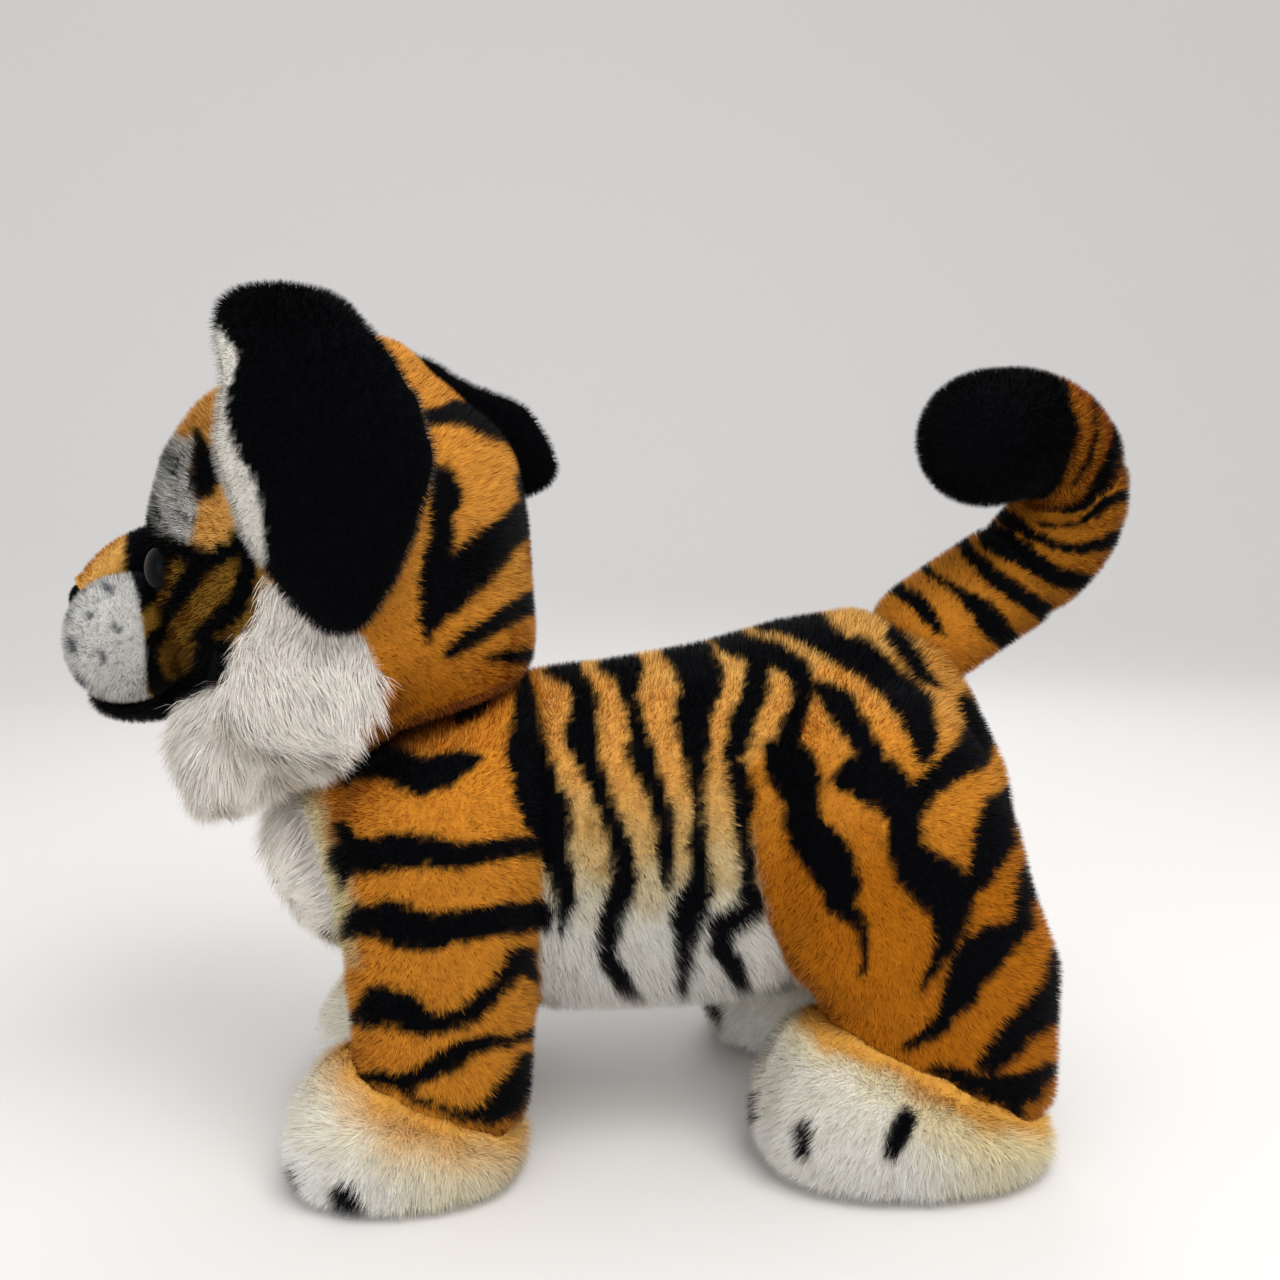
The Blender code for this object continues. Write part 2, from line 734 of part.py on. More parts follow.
def build_legs():
    looks = (ORANGE_PILE, WHITE_FIBRE, CREAM_PILE, CREAM_PILE)
    front_ankle = Vector((FRONT_LEG_X, 0, FRONT_ANKLE_Z))
    rear_ankle = Vector((REAR_ANKLE_X, 0, REAR_ANKLE_Z))
    pairs = (
        ("front", front_leg_place, front_paw_place, FRONT_LEG_TOP, FRONT_PAW_HEIGHT, front_ankle),
        ("rear", rear_leg_place, rear_paw_place, REAR_LEG_TOP, REAR_PAW_HEIGHT, rear_ankle),
    )
    for end, leg_at, paw_at, leg_top, paw_height, ankle in pairs:
        pieces = build_leg(f"{end}_right", leg_at, paw_at, leg_top, paw_height, ankle)
        others = [mirrored(piece, piece.name.replace("right", "left")) for piece in pieces]
        for sleeve, fill, paw, sole in (pieces, others):
            for piece in (sleeve, fill):
                cut(piece, trunk_form("trunk_outside", GAP))
                trim(piece, trunk_seat, neck_axis)
                largest_body(piece)
            for piece, look in zip((sleeve, fill, paw, sole), looks):
                finish(piece, look)


def build_trunk():
    """The trunk's cover in three pieces of cloth, with its stuffing."""
    wall = trim(trunk_form("trunk_cover"), trunk_seat, neck_axis)
    hollow = trunk_form("trunk_hollow", -COVER_WALL, CORE_SIDES, TRUNK_CORE_RINGS)
    trim(hollow, trunk_seat - neck_axis * COVER_WALL, neck_axis)
    cut(wall, hollow)
    socket = tail_socket("tail_space", 0)
    cut(wall, socket, keep=True)
    cut(wall, rod("post_space", NECK_POST_RADIUS + GAP, -OVERRUN, OVERRUN, neck_centre, neck_axis))

    fill = trunk_form("trunk_filling", -COVER_WALL - GAP, CORE_SIDES, TRUNK_CORE_RINGS)
    trim(fill, trunk_seat - neck_axis * (COVER_WALL + GAP), neck_axis)
    cut(fill, socket)
    cut(fill, washer_space("washer_space"))

    panel_centre = Vector((BELLY_PANEL_X, 0, 0))
    bib_centre = Vector((BIB_BACK_X, 0, BIB_Z))
    panels = []
    belly = ("belly_panel", panel_centre, BACKWARD, SIDE, BELLY_PANEL_LENGTH, BELLY_PANEL_WIDTH)
    bib = ("chest_bib", bib_centre, SIDE, UP, BIB_WIDTH, BIB_HEIGHT)
    for outline, travel in ((belly, UP * BELLY_PANEL_TOP), (bib, FORWARD * TRUNK_LENGTH)):
        name, centre, across, upright, length, width = outline
        inside = section(
            centre, across, upright, length / 2 - GAP, width / 2 - GAP, LIMB_SIDES, PANEL_SQUARENESS
        )
        outside = section(centre, across, upright, length / 2, width / 2, LIMB_SIDES, PANEL_SQUARENESS)
        panel = copy_of(wall, name)
        common(panel, prism("panel_outline", inside, travel))
        panels.append(largest_body(panel))
        cut(wall, prism("panel_space", outside, travel))
    largest_body(wall)
    finish(wall, ORANGE_PILE)
    finish(fill, WHITE_FIBRE)
    for panel in panels:
        finish(panel, WHITE_PILE)


# Neck joint, from the disc in the head down to the nut in the trunk
disc_base = GAP / 2 + COVER_WALL + GAP
disc_top = disc_base + NECK_DISC_THICKNESS
washer_top = -GAP / 2 - COVER_WALL - GAP
washer_base = washer_top - NECK_WASHER_THICKNESS
nut_top = washer_base - GAP
nut_base = nut_top - NECK_NUT_THICKNESS
post_end = nut_base - NECK_POST_RADIUS / 2


def washer_space(name):
    """What the washer, the nut and the post's end need free in the trunk's stuffing."""
    made = rod(name, NECK_WASHER_RADIUS + GAP, nut_top, OVERRUN, neck_centre, neck_axis)
    nut = rod("nut_space", NECK_NUT_RADIUS + GAP, post_end - GAP, 0.0, neck_centre, neck_axis)
    return join(made, nut)


def build_neck():
    disc = turned(
        "neck_disc",
        (
            (post_end, NECK_POST_RADIUS),
            (disc_base, NECK_POST_RADIUS),
            (disc_base, NECK_DISC_RADIUS),
            (disc_top, NECK_DISC_RADIUS),
        ),
        neck_centre,
        neck_axis,
    )
    washer = rod("neck_washer", NECK_WASHER_RADIUS, washer_base, washer_top, neck_centre, neck_axis)
    cut(washer, rod("bore", NECK_POST_RADIUS + GAP, -OVERRUN, OVERRUN, neck_centre, neck_axis))
    nut = rod("neck_locknut", NECK_NUT_RADIUS, nut_base, nut_top, neck_centre, neck_axis)
    cut(nut, rod("bore", NECK_POST_RADIUS + GAP, post_end - OVERRUN, OVERRUN, neck_centre, neck_axis))
    finish(washer, CLEAR_PLASTIC)
    for piece in (disc, nut):
        finish(piece, CLEAR_PLASTIC, neck_centre)


def eye_frame(side):
    """Where an eye's back lies on the head, and the direction that it looks in."""
    along = (EYE_Z - HEAD_BASE_Z) / HEAD_HEIGHT
    centre, across, upright, half_length, half_width = head_place(along)
    turn = math.radians(EYE_TURN_DEG)
    a = math.cos(turn) ** (2 / FORM_SQUARENESS)
    b = math.sin(turn) ** (2 / FORM_SQUARENESS)
    spot = centre + across * (half_length * a) + upright * (side * half_width * b)
    look = (across * (a / half_length) + upright * (side * b / half_width)).normalized()
    return spot - look * EYE_SUNK, look


def eye_profile(grow):
    """A domed button with a stem behind it."""
    stem_radius = EYE_STEM_RADIUS + grow
    outline = [(-EYE_STEM_LENGTH - grow, stem_radius), (-grow, stem_radius), (-grow, EYE_RADIUS + grow)]
    for k in range(1, QUARTER_STEPS + 1):
        lean = math.radians(90) * k / QUARTER_STEPS
        outline.append(((EYE_HEIGHT + grow) * math.sin(lean), (EYE_RADIUS + grow) * math.cos(lean)))
    return outline


def build_head():
    """The head's cover and stuffing, with eyes let into it and room for the neck's disc."""
    cover = head_form("head_cover")
    fill = head_form("head_filling", -COVER_WALL - GAP, CORE_SIDES)
    cut(fill, rod("disc_space", NECK_DISC_RADIUS + GAP, -OVERRUN, disc_top + GAP, neck_centre, neck_axis))
    stem_end = -EYE_STEM_LENGTH
    washer_front = stem_end + EYE_WASHER_THICKNESS
    for word, side in (("left", -1), ("right", 1)):
        spot, look = eye_frame(side)
        eye = turned(f"eye_{word}", eye_profile(0.0), spot, look, LIMB_SIDES)
        cut(cover, turned("eye_space", eye_profile(GAP), spot, look, LIMB_SIDES))
        name = f"eye_washer_{word}"
        washer = rod(name, EYE_WASHER_RADIUS, stem_end, washer_front, spot, look, SMALL_SIDES)
        cut(washer, rod("bore", EYE_STEM_RADIUS + GAP, stem_end - OVERRUN, 0.0, spot, look, SMALL_SIDES))
        cut(fill, rod("room", EYE_WASHER_RADIUS + GAP, stem_end - GAP, 0.0, spot, look, SMALL_SIDES))
        finish(eye, BLACK_GLOSS, neck_centre)
        finish(washer, CLEAR_PLASTIC, neck_centre)
        cut(cover, ear_groove("ear_groove", side))
        for lift_share in EAR_LIFT_SHARES:
            cut(cover, lifted_ear("ear_dent", side, lift_share))
    cut(cover, head_form("head_hollow", -COVER_WALL, CORE_SIDES))
    cut(cover, rod("post_space", NECK_POST_RADIUS + GAP, -OVERRUN, OVERRUN, neck_centre, neck_axis))
    finish(largest_body(cover), ORANGE_PILE, neck_centre)
    finish(largest_body(fill), WHITE_FIBRE, neck_centre)


def puff_form(name, side, grow=0.0):
    centre = Vector((MUZZLE_X, side * MUZZLE_Y, MUZZLE_Z))
    return egg(name, centre, MUZZLE_LENGTH, MUZZLE_WIDTH, MUZZLE_HEIGHT, None, grow, ROUND_SIDES, PUFF_RINGS)


def bridge_form(name, grow=0.0):
    slope = Matrix.Rotation(-math.radians(BRIDGE_SLOPE_DEG), 4, "Y")
    centre = Vector((BRIDGE_X, 0, BRIDGE_Z))
    return egg(name, centre, BRIDGE_LENGTH, BRIDGE_WIDTH, BRIDGE_HEIGHT, slope, grow)


def nose_form(name, grow=0.0):
    centre = Vector((NOSE_X, 0, NOSE_Z))
    return egg(name, centre, NOSE_LENGTH, NOSE_WIDTH, NOSE_HEIGHT, None, grow)


def chin_form(name, grow=0.0):
    centre = Vector((CHIN_X, 0, CHIN_Z))
    return egg(name, centre, CHIN_LENGTH, CHIN_WIDTH, CHIN_HEIGHT, None, grow)


def cheek_form(name, side, grow=0.0):
    centre = Vector((CHEEK_X, side * CHEEK_Y, CHEEK_Z))
    return egg(name, centre, CHEEK_LENGTH, CHEEK_WIDTH, CHEEK_HEIGHT, None, grow)


def build_face():
    """The muzzle's puffs, bridge, nose and chin, and the ruffs of long pile round the jaw."""
    head = swollen("head_outside", head_place, HEAD_HEIGHT, HEAD_RINGS, BODY_SIDES, GAP)
    nose = nose_form("nose")
    bridge = bridge_form("nose_bridge")
    cut(bridge, head, keep=True)
    cut(bridge, nose_form("nose_space", GAP))

    right = trim(puff_form("muzzle_right", 1), SIDE * (GAP / 2), -SIDE)
    cut(right, head, keep=True)
    cut(right, bridge_form("bridge_space", GAP))
    cut(right, nose_form("nose_space", GAP))
    left = mirrored(largest_body(right), "muzzle_left")

    cheek = cheek_form("cheek_ruff_right", 1)
    cut(cheek, head, keep=True)
    trim(cheek, head_seat, -neck_axis)
    other_cheek = mirrored(largest_body(cheek), "cheek_ruff_left")

    chin = chin_form("chin")
    cut(chin, head, keep=True)
    throat_centre = Vector((THROAT_X, 0, THROAT_Z))
    throat = egg(
        "throat_ruff", throat_centre, THROAT_LENGTH, THROAT_WIDTH, THROAT_HEIGHT, None, 0.0, ROUND_SIDES
    )
    trim(throat, head_seat, -neck_axis)
    cut(throat, head)
    cut(throat, chin_form("chin_space", GAP))
    for side in (-1, 1):
        cut(chin, puff_form("puff_space", side, GAP))
        cut(throat, puff_form("puff_space", side, GAP))
        cut(throat, cheek_form("cheek_space", side, GAP))

    finish(nose, BLACK_PILE, neck_centre)
    finish(bridge, ORANGE_PILE, neck_centre)
    finish(largest_body(chin), BLACK_PILE, neck_centre)
    for piece in (left, right, cheek, other_cheek, largest_body(throat)):
        finish(piece, WHITE_PILE, neck_centre)


# Ears
def ear_groove(name, side):
    """The rounded groove in the head in which an ear's root turns."""
    half_width, half_thickness = EAR_SHARES[0][3:]
    reach = EAR_WIDTH * half_width + GAP
    radius = (EAR_THICKNESS * half_thickness + GAP) / math.cos(math.pi / SMALL_SIDES)
    return rod(name, radius, -reach, reach, ear_point(0.0, side, 0.0), BACKWARD, SMALL_SIDES)


def ear_point(along, side, swing):
    """A point on the ear's middle line. It leaves the head sideways and then swings to the back."""
    outwards, upwards = smooth_rows(EAR_SHARES, along)[:2]
    turn = math.radians(swing) * min(along / EAR_SWING_SHARE, 1.0)
    x = EAR_ROOT_X - EAR_LENGTH * upwards * math.sin(turn)
    y = side * (EAR_ROOT_Y + EAR_LENGTH * outwards)
    return Vector((x, y, EAR_ROOT_Z + EAR_LENGTH * upwards * math.cos(turn)))


def ear_layer(name, side, swing, outer, base, grow=0.0):
    """One of the ear's two cloths: the black back outside, or the white lining towards the head.

    Its flat side lies at a height, base, over the ear's middle.
    """
    rings = []
    for k in range(EAR_RINGS + 1):
        along = k / EAR_RINGS
        ahead = ear_point(min(along + STEP_SHARE, 1.0), side, swing)
        behind = ear_point(max(along - STEP_SHARE, 0.0), side, swing)
        lengthwise = (ahead - behind).normalized()
        past_end = {0: -grow, EAR_RINGS: grow}.get(k, 0.0)
        across = (BACKWARD - lengthwise * BACKWARD.dot(lengthwise)).normalized()
        upright = across.cross(lengthwise) * (side if outer else -side)
        half_width, half_thickness = smooth_rows(EAR_SHARES, along)[2:]
        half_width = half_width * EAR_WIDTH + grow
        height = half_thickness * EAR_THICKNESS + grow - base
        centre = ear_point(along, side, swing) + lengthwise * past_end + upright * base
        ring = []
        for step in range(EAR_SIDES + 1):
            angle = math.pi * step / EAR_SIDES
            ring.append(centre + across * (half_width * math.cos(angle)) + upright * (height * math.sin(angle)))
        ring += [centre - across * (half_width * share) for share in EAR_FLAT_SHARES]
        rings.append(ring)
    return loft(name, rings)


def lifted_ear(name, side, lift_share):
    """The room that the back of a lifted ear needs in the head's cover."""
    swing = EAR_SWINGS_DEG[side]
    root = ear_point(0.0, side, swing)
    made = ear_layer(name, side, swing, True, -GAP, GAP)
    lift = Matrix.Rotation(side * math.radians(EAR_LIFT_DEG) * lift_share, 4, "X")
    made.data.transform(Matrix.Translation(root) @ lift @ Matrix.Translation(-root))
    return made


def build_ears():
    for word, side in (("left", -1), ("right", 1)):
        swing = EAR_SWINGS_DEG[side]
        root = ear_point(0.0, side, swing)
        back = ear_layer(f"ear_{word}_back", side, swing, True, 0.0)
        lining = ear_layer(f"ear_{word}_lining", side, swing, False, EAR_LAYER_GAP)
        finish(back, BLACK_PILE, root)
        finish(lining, WHITE_PILE, root)


def tail_wire(name, first, reach, grow=0.0):
    """The length of wire from the wall of a tail's first ball to a knot that it reaches."""
    behind = -(tail_girth(first) - GAP + grow)
    rings = [tail_ring(first, TAIL_WIRE_RADIUS + grow, WIRE_SIDES, behind, WIRE_TURN_SHARE)]
    for k in range(WIRE_RINGS + 1):
        knot = first + (reach - first) * k / WIRE_RINGS
        ahead = grow if k == WIRE_RINGS else 0.0
        rings.append(tail_ring(knot, TAIL_WIRE_RADIUS + grow, WIRE_SIDES, ahead, WIRE_TURN_SHARE))
    return loft(name, rings)


def build_tail():
    """Three lengths of tail, each with a cover, stuffing and a length of the wire that holds the curl."""
    lengths = (
        ("base", 0, TAIL_BEND_KNOT, ORANGE_PILE),
        ("curl", TAIL_BEND_KNOT, TAIL_TIP_KNOT, ORANGE_PILE),
        ("tip", TAIL_TIP_KNOT, TAIL_LAST_KNOT, BLACK_PILE),
    )
    for word, first, last, look in lengths:
        tip = last == TAIL_LAST_KNOT
        cover = tail_length(f"tail_{word}_cover", first, last, LIMB_SIDES, 0.0, tip)
        hollow = tail_length("tail_hollow", first, last, INNER_SIDES, -COVER_WALL, tip)
        fill = tail_length(f"tail_{word}_filling", first, last, INNER_SIDES, -COVER_WALL - GAP, tip)
        wire_share = TAIL_TIP_WIRE_SHARE
        if not tip:
            run = (tail_point(last) - tail_point(first)).length
            wire_share = 1 - (tail_girth(last) + COVER_WALL) / run
            next_socket = tail_socket("tail_space", last)
            cut(cover, next_socket, keep=True)
            cut(fill, next_socket)
        cut(cover, hollow)
        reach = first + (last - first) * wire_share
        wire = tail_wire(f"tail_{word}_wire", first, reach)
        space = tail_wire("wire_space", first, reach, GAP)
        cut(cover, space, keep=True)
        cut(fill, space)
        pivot = tail_point(first)
        finish(largest_body(cover), look, pivot)
        finish(largest_body(fill), WHITE_FIBRE, pivot)
        finish(wire, STEEL_WIRE, pivot)


build_trunk()
build_neck()
build_head()
build_face()
build_ears()
build_legs()
build_tail()
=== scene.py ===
# %% [markdown]
# # Dressing a plush tiger
#
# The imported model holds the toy's hidden build: stuffed covers, a neck joint, eye stems and tail
# wire. This file gives it what the eye sees: sewn and stuffed cloth skins, each with thousands of
# short fibres, and black button eyes. Each code cell makes one thing. The text before it says what
# the thing is on the real toy, how it could be made, and why it is made this way.

import math

import bpy
import numpy as np
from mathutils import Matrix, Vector
from mathutils.bvhtree import BVHTree


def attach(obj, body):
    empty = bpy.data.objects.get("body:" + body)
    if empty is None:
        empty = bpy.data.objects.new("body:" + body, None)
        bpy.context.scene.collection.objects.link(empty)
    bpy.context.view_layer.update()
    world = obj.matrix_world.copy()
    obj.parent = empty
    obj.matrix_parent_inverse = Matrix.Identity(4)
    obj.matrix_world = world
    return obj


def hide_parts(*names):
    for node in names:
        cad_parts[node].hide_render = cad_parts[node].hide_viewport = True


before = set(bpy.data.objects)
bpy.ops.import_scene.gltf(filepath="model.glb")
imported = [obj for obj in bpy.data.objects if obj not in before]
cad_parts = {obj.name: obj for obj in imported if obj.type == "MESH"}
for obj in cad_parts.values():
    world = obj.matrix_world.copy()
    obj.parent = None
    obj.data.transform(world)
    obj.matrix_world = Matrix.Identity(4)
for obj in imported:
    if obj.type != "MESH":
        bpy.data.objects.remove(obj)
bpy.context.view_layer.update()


def in_mm(corners):
    return [[round(value * 1000, 1) for value in corner] for corner in corners]


# %% [markdown]
# ## The camera
#
# The picture was taken from the toy's left side, from a little above its back. The camera comes
# first, because the coat's stripes are brushed on as they are seen from here.

# %% Camera
PICTURE_PX = 1280
LENS_MM = 36.08
SENSOR_MM = 36.0
CAMERA_AT = (-0.0535, -0.596, 0.290)
CAMERA_TILT_DEG = 83.8
CAMERA_TURN_DEG = -6.5

bpy.ops.object.select_all(action="DESELECT")
camera_angles = (math.radians(CAMERA_TILT_DEG), 0, math.radians(CAMERA_TURN_DEG))
bpy.ops.object.camera_add(location=CAMERA_AT, rotation=camera_angles)
camera = bpy.context.object
camera.name = "picture_camera"
camera.data.lens = LENS_MM
camera.data.sensor_width = SENSOR_MM
bpy.context.scene.camera = camera
bpy.context.view_layer.update()
camera_axes = np.array(camera.matrix_world.to_3x3())


def in_picture(places):
    """Where places lie in the picture: pixels from its left edge and from its top."""
    seen = (places - CAMERA_AT) @ camera_axes
    scale = PICTURE_PX * LENS_MM / SENSOR_MM / -seen[:, 2]
    return PICTURE_PX / 2 + seen[:, 0] * scale, PICTURE_PX / 2 - seen[:, 1] * scale


print("camera at", CAMERA_AT)

# %% [markdown]
# ## Colours
#
# Colours are written as sRGB hex values, as a designer would pick them, and one function turns them
# to the linear values that Blender works in. A fibre's own colour is a little lighter than the coat
# looks, because fibres shade each other.


# %% Colours
def linear(hex_colour):
    """An sRGB hex colour as linear red, green and blue."""
    parts = [int(hex_colour[k : k + 2], 16) / 255 for k in (1, 3, 5)]
    return np.array([p / 12.92 if p <= 0.04045 else ((p + 0.055) / 1.055) ** 2.4 for p in parts])


# Painted light and shade: LIGHT_ORANGE lights the back, DEEP_ORANGE shades the thighs and head low.
LIGHT_ORANGE = linear("#F3B961")
ORANGE = linear("#E5962F")
DEEP_ORANGE = linear("#CF7C17")
PAW_GOLD = linear("#EFB04E")
SAND = linear("#E2BD78")
STRAW = linear("#E6D2A4")
GOLD = linear("#9A7028")
BLACK = linear("#07080C")
WHITE = linear("#FAF5EA")
SILVER = linear("#DCDAD4")
RUFF_WHITE = linear("#F3ECE2")
CREAM = linear("#FBE6B0")
GREY = linear("#4E5058")
print("orange as linear values:", ORANGE.round(3))

# %% [markdown]
# ## A helper for nodes
#
# Every material is a small network of nodes. One helper adds a node, sets its values and links its
# inputs, so that each material below reads as a short list.


# %% Node helper
def add_node(tree, kind, inputs=None, **settings):
    """Adds a node. An input's value is a number, a colour or another node's output socket."""
    node = tree.nodes.new(kind)
    for name, value in settings.items():
        setattr(node, name, value)
    for key, value in (inputs or {}).items():
        if isinstance(value, bpy.types.NodeSocket):
            tree.links.new(value, node.inputs[key])
        else:
            node.inputs[key].default_value = value
    return node


def new_material(name):
    """An empty material, and its tree of nodes."""
    made = bpy.data.materials.new(name)
    made.use_nodes = True
    made.node_tree.nodes.clear()
    return made, made.node_tree


print("node helpers are ready")

# %% [markdown]
# ## The coat's materials
#
# The coat is a knitted polyester plush, printed and sheared. What shows is its pile: fine matt
# fibres with hardly any shine. Each fibre's colour is stored on the mesh, because the stripes are
# printed and each fibre takes one ink. The fleck is about 2 mm wide, the width of a lock of fibres.
# The knitted backing shows only where the pile parts. It is painted darker, as painted shade down
# among the fibres, and its loops are 1.2 mm wide.

# %% Pile and backing
FLECK_MM = 2.0
FLECK_TONES = (0.86, 1.14)
KNIT_MM = 1.2
# Painted shade: the backing takes the pile's colour, darkened as shade among the fibres.
BACKING_SHADE = 0.7


def printed_colour(tree, place, brightness):
    """The colour stored on the mesh, a little lighter or darker from lock to lock."""
    ink = add_node(tree, "ShaderNodeVertexColor", layer_name="Coat")
    noise = {"Vector": place.outputs["Object"], "Scale": 1000 / FLECK_MM, "Detail": 2.0}
    fleck = add_node(tree, "ShaderNodeTexNoise", noise)
    low, high = (brightness * tone for tone in FLECK_TONES)
    tones = {"Value": fleck.outputs["Fac"], "To Min": low, "To Max": high}
    tone = add_node(tree, "ShaderNodeMapRange", tones)
    shaded = {0: ink.outputs["Color"], "Scale": tone.outputs["Result"]}
    return add_node(tree, "ShaderNodeVectorMath", shaded, operation="SCALE").outputs["Vector"]


pile_material, pile_tree = new_material("polyester pile, printed and sheared")
pile_place = add_node(pile_tree, "ShaderNodeTexCoord")
pile_shader = add_node(
    pile_tree,
    "ShaderNodeBsdfPrincipled",
    {
        "Base Color": printed_colour(pile_tree, pile_place, 1.0),
        "Roughness": 0.85,
        "Specular IOR Level": 0.06,
        "Sheen Weight": 0.03,
        "Sheen Roughness": 0.5,
    },
)
add_node(pile_tree, "ShaderNodeOutputMaterial", {"Surface": pile_shader.outputs["BSDF"]})

backing_material, backing_tree = new_material("knitted polyester backing")
backing_place = add_node(backing_tree, "ShaderNodeTexCoord")
knit = {"Vector": backing_place.outputs["Object"], "Scale": 1000 / KNIT_MM}
loops = add_node(backing_tree, "ShaderNodeTexVoronoi", knit)
relief = {"Height": loops.outputs["Distance"], "Strength": 0.4, "Distance": 0.0004}
backing_shader = add_node(
    backing_tree,
    "ShaderNodeBsdfPrincipled",
    {
        "Base Color": printed_colour(backing_tree, backing_place, BACKING_SHADE),
        "Normal": add_node(backing_tree, "ShaderNodeBump", relief).outputs["Normal"],
        "Roughness": 0.95,
        "Specular IOR Level": 0.05,
    },
)
add_node(backing_tree, "ShaderNodeOutputMaterial", {"Surface": backing_shader.outputs["BSDF"]})
print("coat materials:", pile_material.name, "and", backing_material.name)

# %% [markdown]
# ## Skins
#
# A stuffed toy is a set of sewn bags. Each skin starts from copies of the solids that it stands
# for. They are joined, remeshed into one even surface, smoothed so that no facet is left, and drawn
# in by part of the pile's depth, because the solids' size takes in the pile.

# %% Skins
DOUBLES_APART = 0.00001


def select_only(piece):
    bpy.ops.object.select_all(action="DESELECT")
    piece.select_set(True)
    bpy.context.view_layer.objects.active = piece


def apply_modifier(piece, kind, **settings):
    """Adds a modifier with its settings and applies it."""
    select_only(piece)
    bpy.ops.object.modifier_add(type=kind)
    modifier = piece.modifiers[-1]
    for name, value in settings.items():
        setattr(modifier, name, value)
    bpy.ops.object.modifier_apply(modifier=modifier.name)


def joined_copy(name, nodes):
    """One mesh from copies of the solids, their loose triangles merged."""
    bpy.ops.object.select_all(action="DESELECT")
    for node in nodes:
        twin = bpy.data.objects.new(name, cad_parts[node].data.copy())
        bpy.context.scene.collection.objects.link(twin)
        twin.select_set(True)
        bpy.context.view_layer.objects.active = twin
    bpy.ops.object.join()
    bpy.ops.object.mode_set(mode="EDIT")
    bpy.ops.mesh.select_all(action="SELECT")
    bpy.ops.mesh.remove_doubles(threshold=DOUBLES_APART)
    bpy.ops.object.mode_set(mode="OBJECT")
    return bpy.context.object


def keep_largest_part(piece):
    """Removes the small closed bubbles that a remesh leaves inside."""
    select_only(piece)
    bpy.ops.mesh.separate(type="LOOSE")
    parts = sorted(bpy.context.selected_objects, key=lambda part: len(part.data.vertices))
    for part in parts[:-1]:
        bpy.data.objects.remove(part, do_unlink=True)
    return parts[-1]


def sewn_skin(name, body, nodes, inset_mm, voxel_mm=3.5, smoothing=8):
    """One closed skin from the solids it stands for."""
    skin = joined_copy(name, nodes)
    apply_modifier(skin, "REMESH", mode="VOXEL", voxel_size=voxel_mm / 1000)
    skin = keep_largest_part(skin)
    apply_modifier(skin, "SMOOTH", factor=0.5, iterations=smoothing)
    apply_modifier(skin, "DISPLACE", strength=-inset_mm / 1000, mid_level=0.0)
    apply_modifier(skin, "SMOOTH", factor=0.5, iterations=2)
    skin.name = name
    skin.data.name = name
    skin.data.materials.clear()
    skin.data.materials.append(backing_material)
    bpy.ops.object.shade_smooth()
    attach(skin, body)
    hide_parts(*nodes)
    print(f"{name}: {len(skin.data.polygons)} faces")
    return skin


print("solids that skins can be made from:", len(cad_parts))

# %% [markdown]
# ## Stuffing the skins
#
# The real bags are round because fibre is packed into them. Blender's cloth does the same: some
# pressure inside, no gravity and a few frames, with a cap on how far any point may move, so that
# the toy keeps its size and the bags stay clear of each other.

# %% Stuffing
STUFFING_FRAMES = 14
STUFFING_PRESSURE = 3.0
STUFFING_CAP_MM = 1.5


def vertex_places(mesh):
    places = np.empty(len(mesh.vertices) * 3)
    mesh.vertices.foreach_get("co", places)
    return places.reshape(-1, 3)


def push(skin, moves):
    """Moves a skin's points by metres."""
    places = vertex_places(skin.data) + moves
    skin.data.vertices.foreach_set("co", places.reshape(-1))
    skin.data.update()


def stuff(skin, most_mm=STUFFING_CAP_MM):
    """Blows a skin up as its stuffing does, no point further than the cap."""
    before = vertex_places(skin.data)
    select_only(skin)
    bpy.ops.object.modifier_add(type="CLOTH")
    cloth = skin.modifiers[-1]
    cloth.settings.use_pressure = True
    cloth.settings.uniform_pressure_force = STUFFING_PRESSURE
    cloth.settings.effector_weights.gravity = 0.0
    cloth.settings.quality = 4
    cloth.collision_settings.use_collision = False
    cloth.point_cache.frame_start = 1
    cloth.point_cache.frame_end = STUFFING_FRAMES
    for step in range(1, STUFFING_FRAMES + 1):
        bpy.context.scene.frame_set(step)
    swollen = skin.evaluated_get(bpy.context.evaluated_depsgraph_get())
    moves = vertex_places(swollen.data) - before
    skin.modifiers.clear()
    bpy.context.scene.frame_set(1)
    far = np.linalg.norm(moves, axis=1)[:, None]
    cap = most_mm / 1000
    push(skin, moves * (cap * np.tanh(far / cap) / (far + 1e-9)))
    print(f"{skin.name}: moved {far.max() * 1000:.1f} mm before the cap of {most_mm} mm")


print("stuffing takes", STUFFING_FRAMES, "frames at a pressure of", STUFFING_PRESSURE)

# %% [markdown]
# ## Brush strokes
#
# The black stripes are printed. Each is a brush stroke: a line of points, each with a half width,
# in the pixels of the picture. A place on the toy is black where its view from the camera falls
# inside a stroke. The right side is the mirror of the left, as the printed cloth is.

# %% Painting
FAR_PX = 1000.0
WAVER_PX = 2.5
WAVER_MM = 7


def stroke_depth(u, v, stroke):
    """How far inside a stroke each place lies, in pixels. Outside it the value is negative."""
    deepest = np.full(len(u), -FAR_PX)
    for (u0, v0, w0), (u1, v1, w1) in zip(stroke, stroke[1:]):
        du, dv = u1 - u0, v1 - v0
        t = np.clip(((u - u0) * du + (v - v0) * dv) / (du * du + dv * dv), 0, 1)
        away = np.hypot(u - u0 - du * t, v - v0 - dv * t)
        deepest = np.maximum(deepest, w0 + (w1 - w0) * t - away)
    return deepest


def painted(u, v, strokes):
    """The depth in the deepest of several strokes."""
    return np.maximum.reduce([stroke_depth(u, v, stroke) for stroke in strokes])


def distance(u, v, line):
    """How far each place lies from a line of points, in pixels."""
    return -stroke_depth(u, v, [(a, b, 0) for a, b in line])


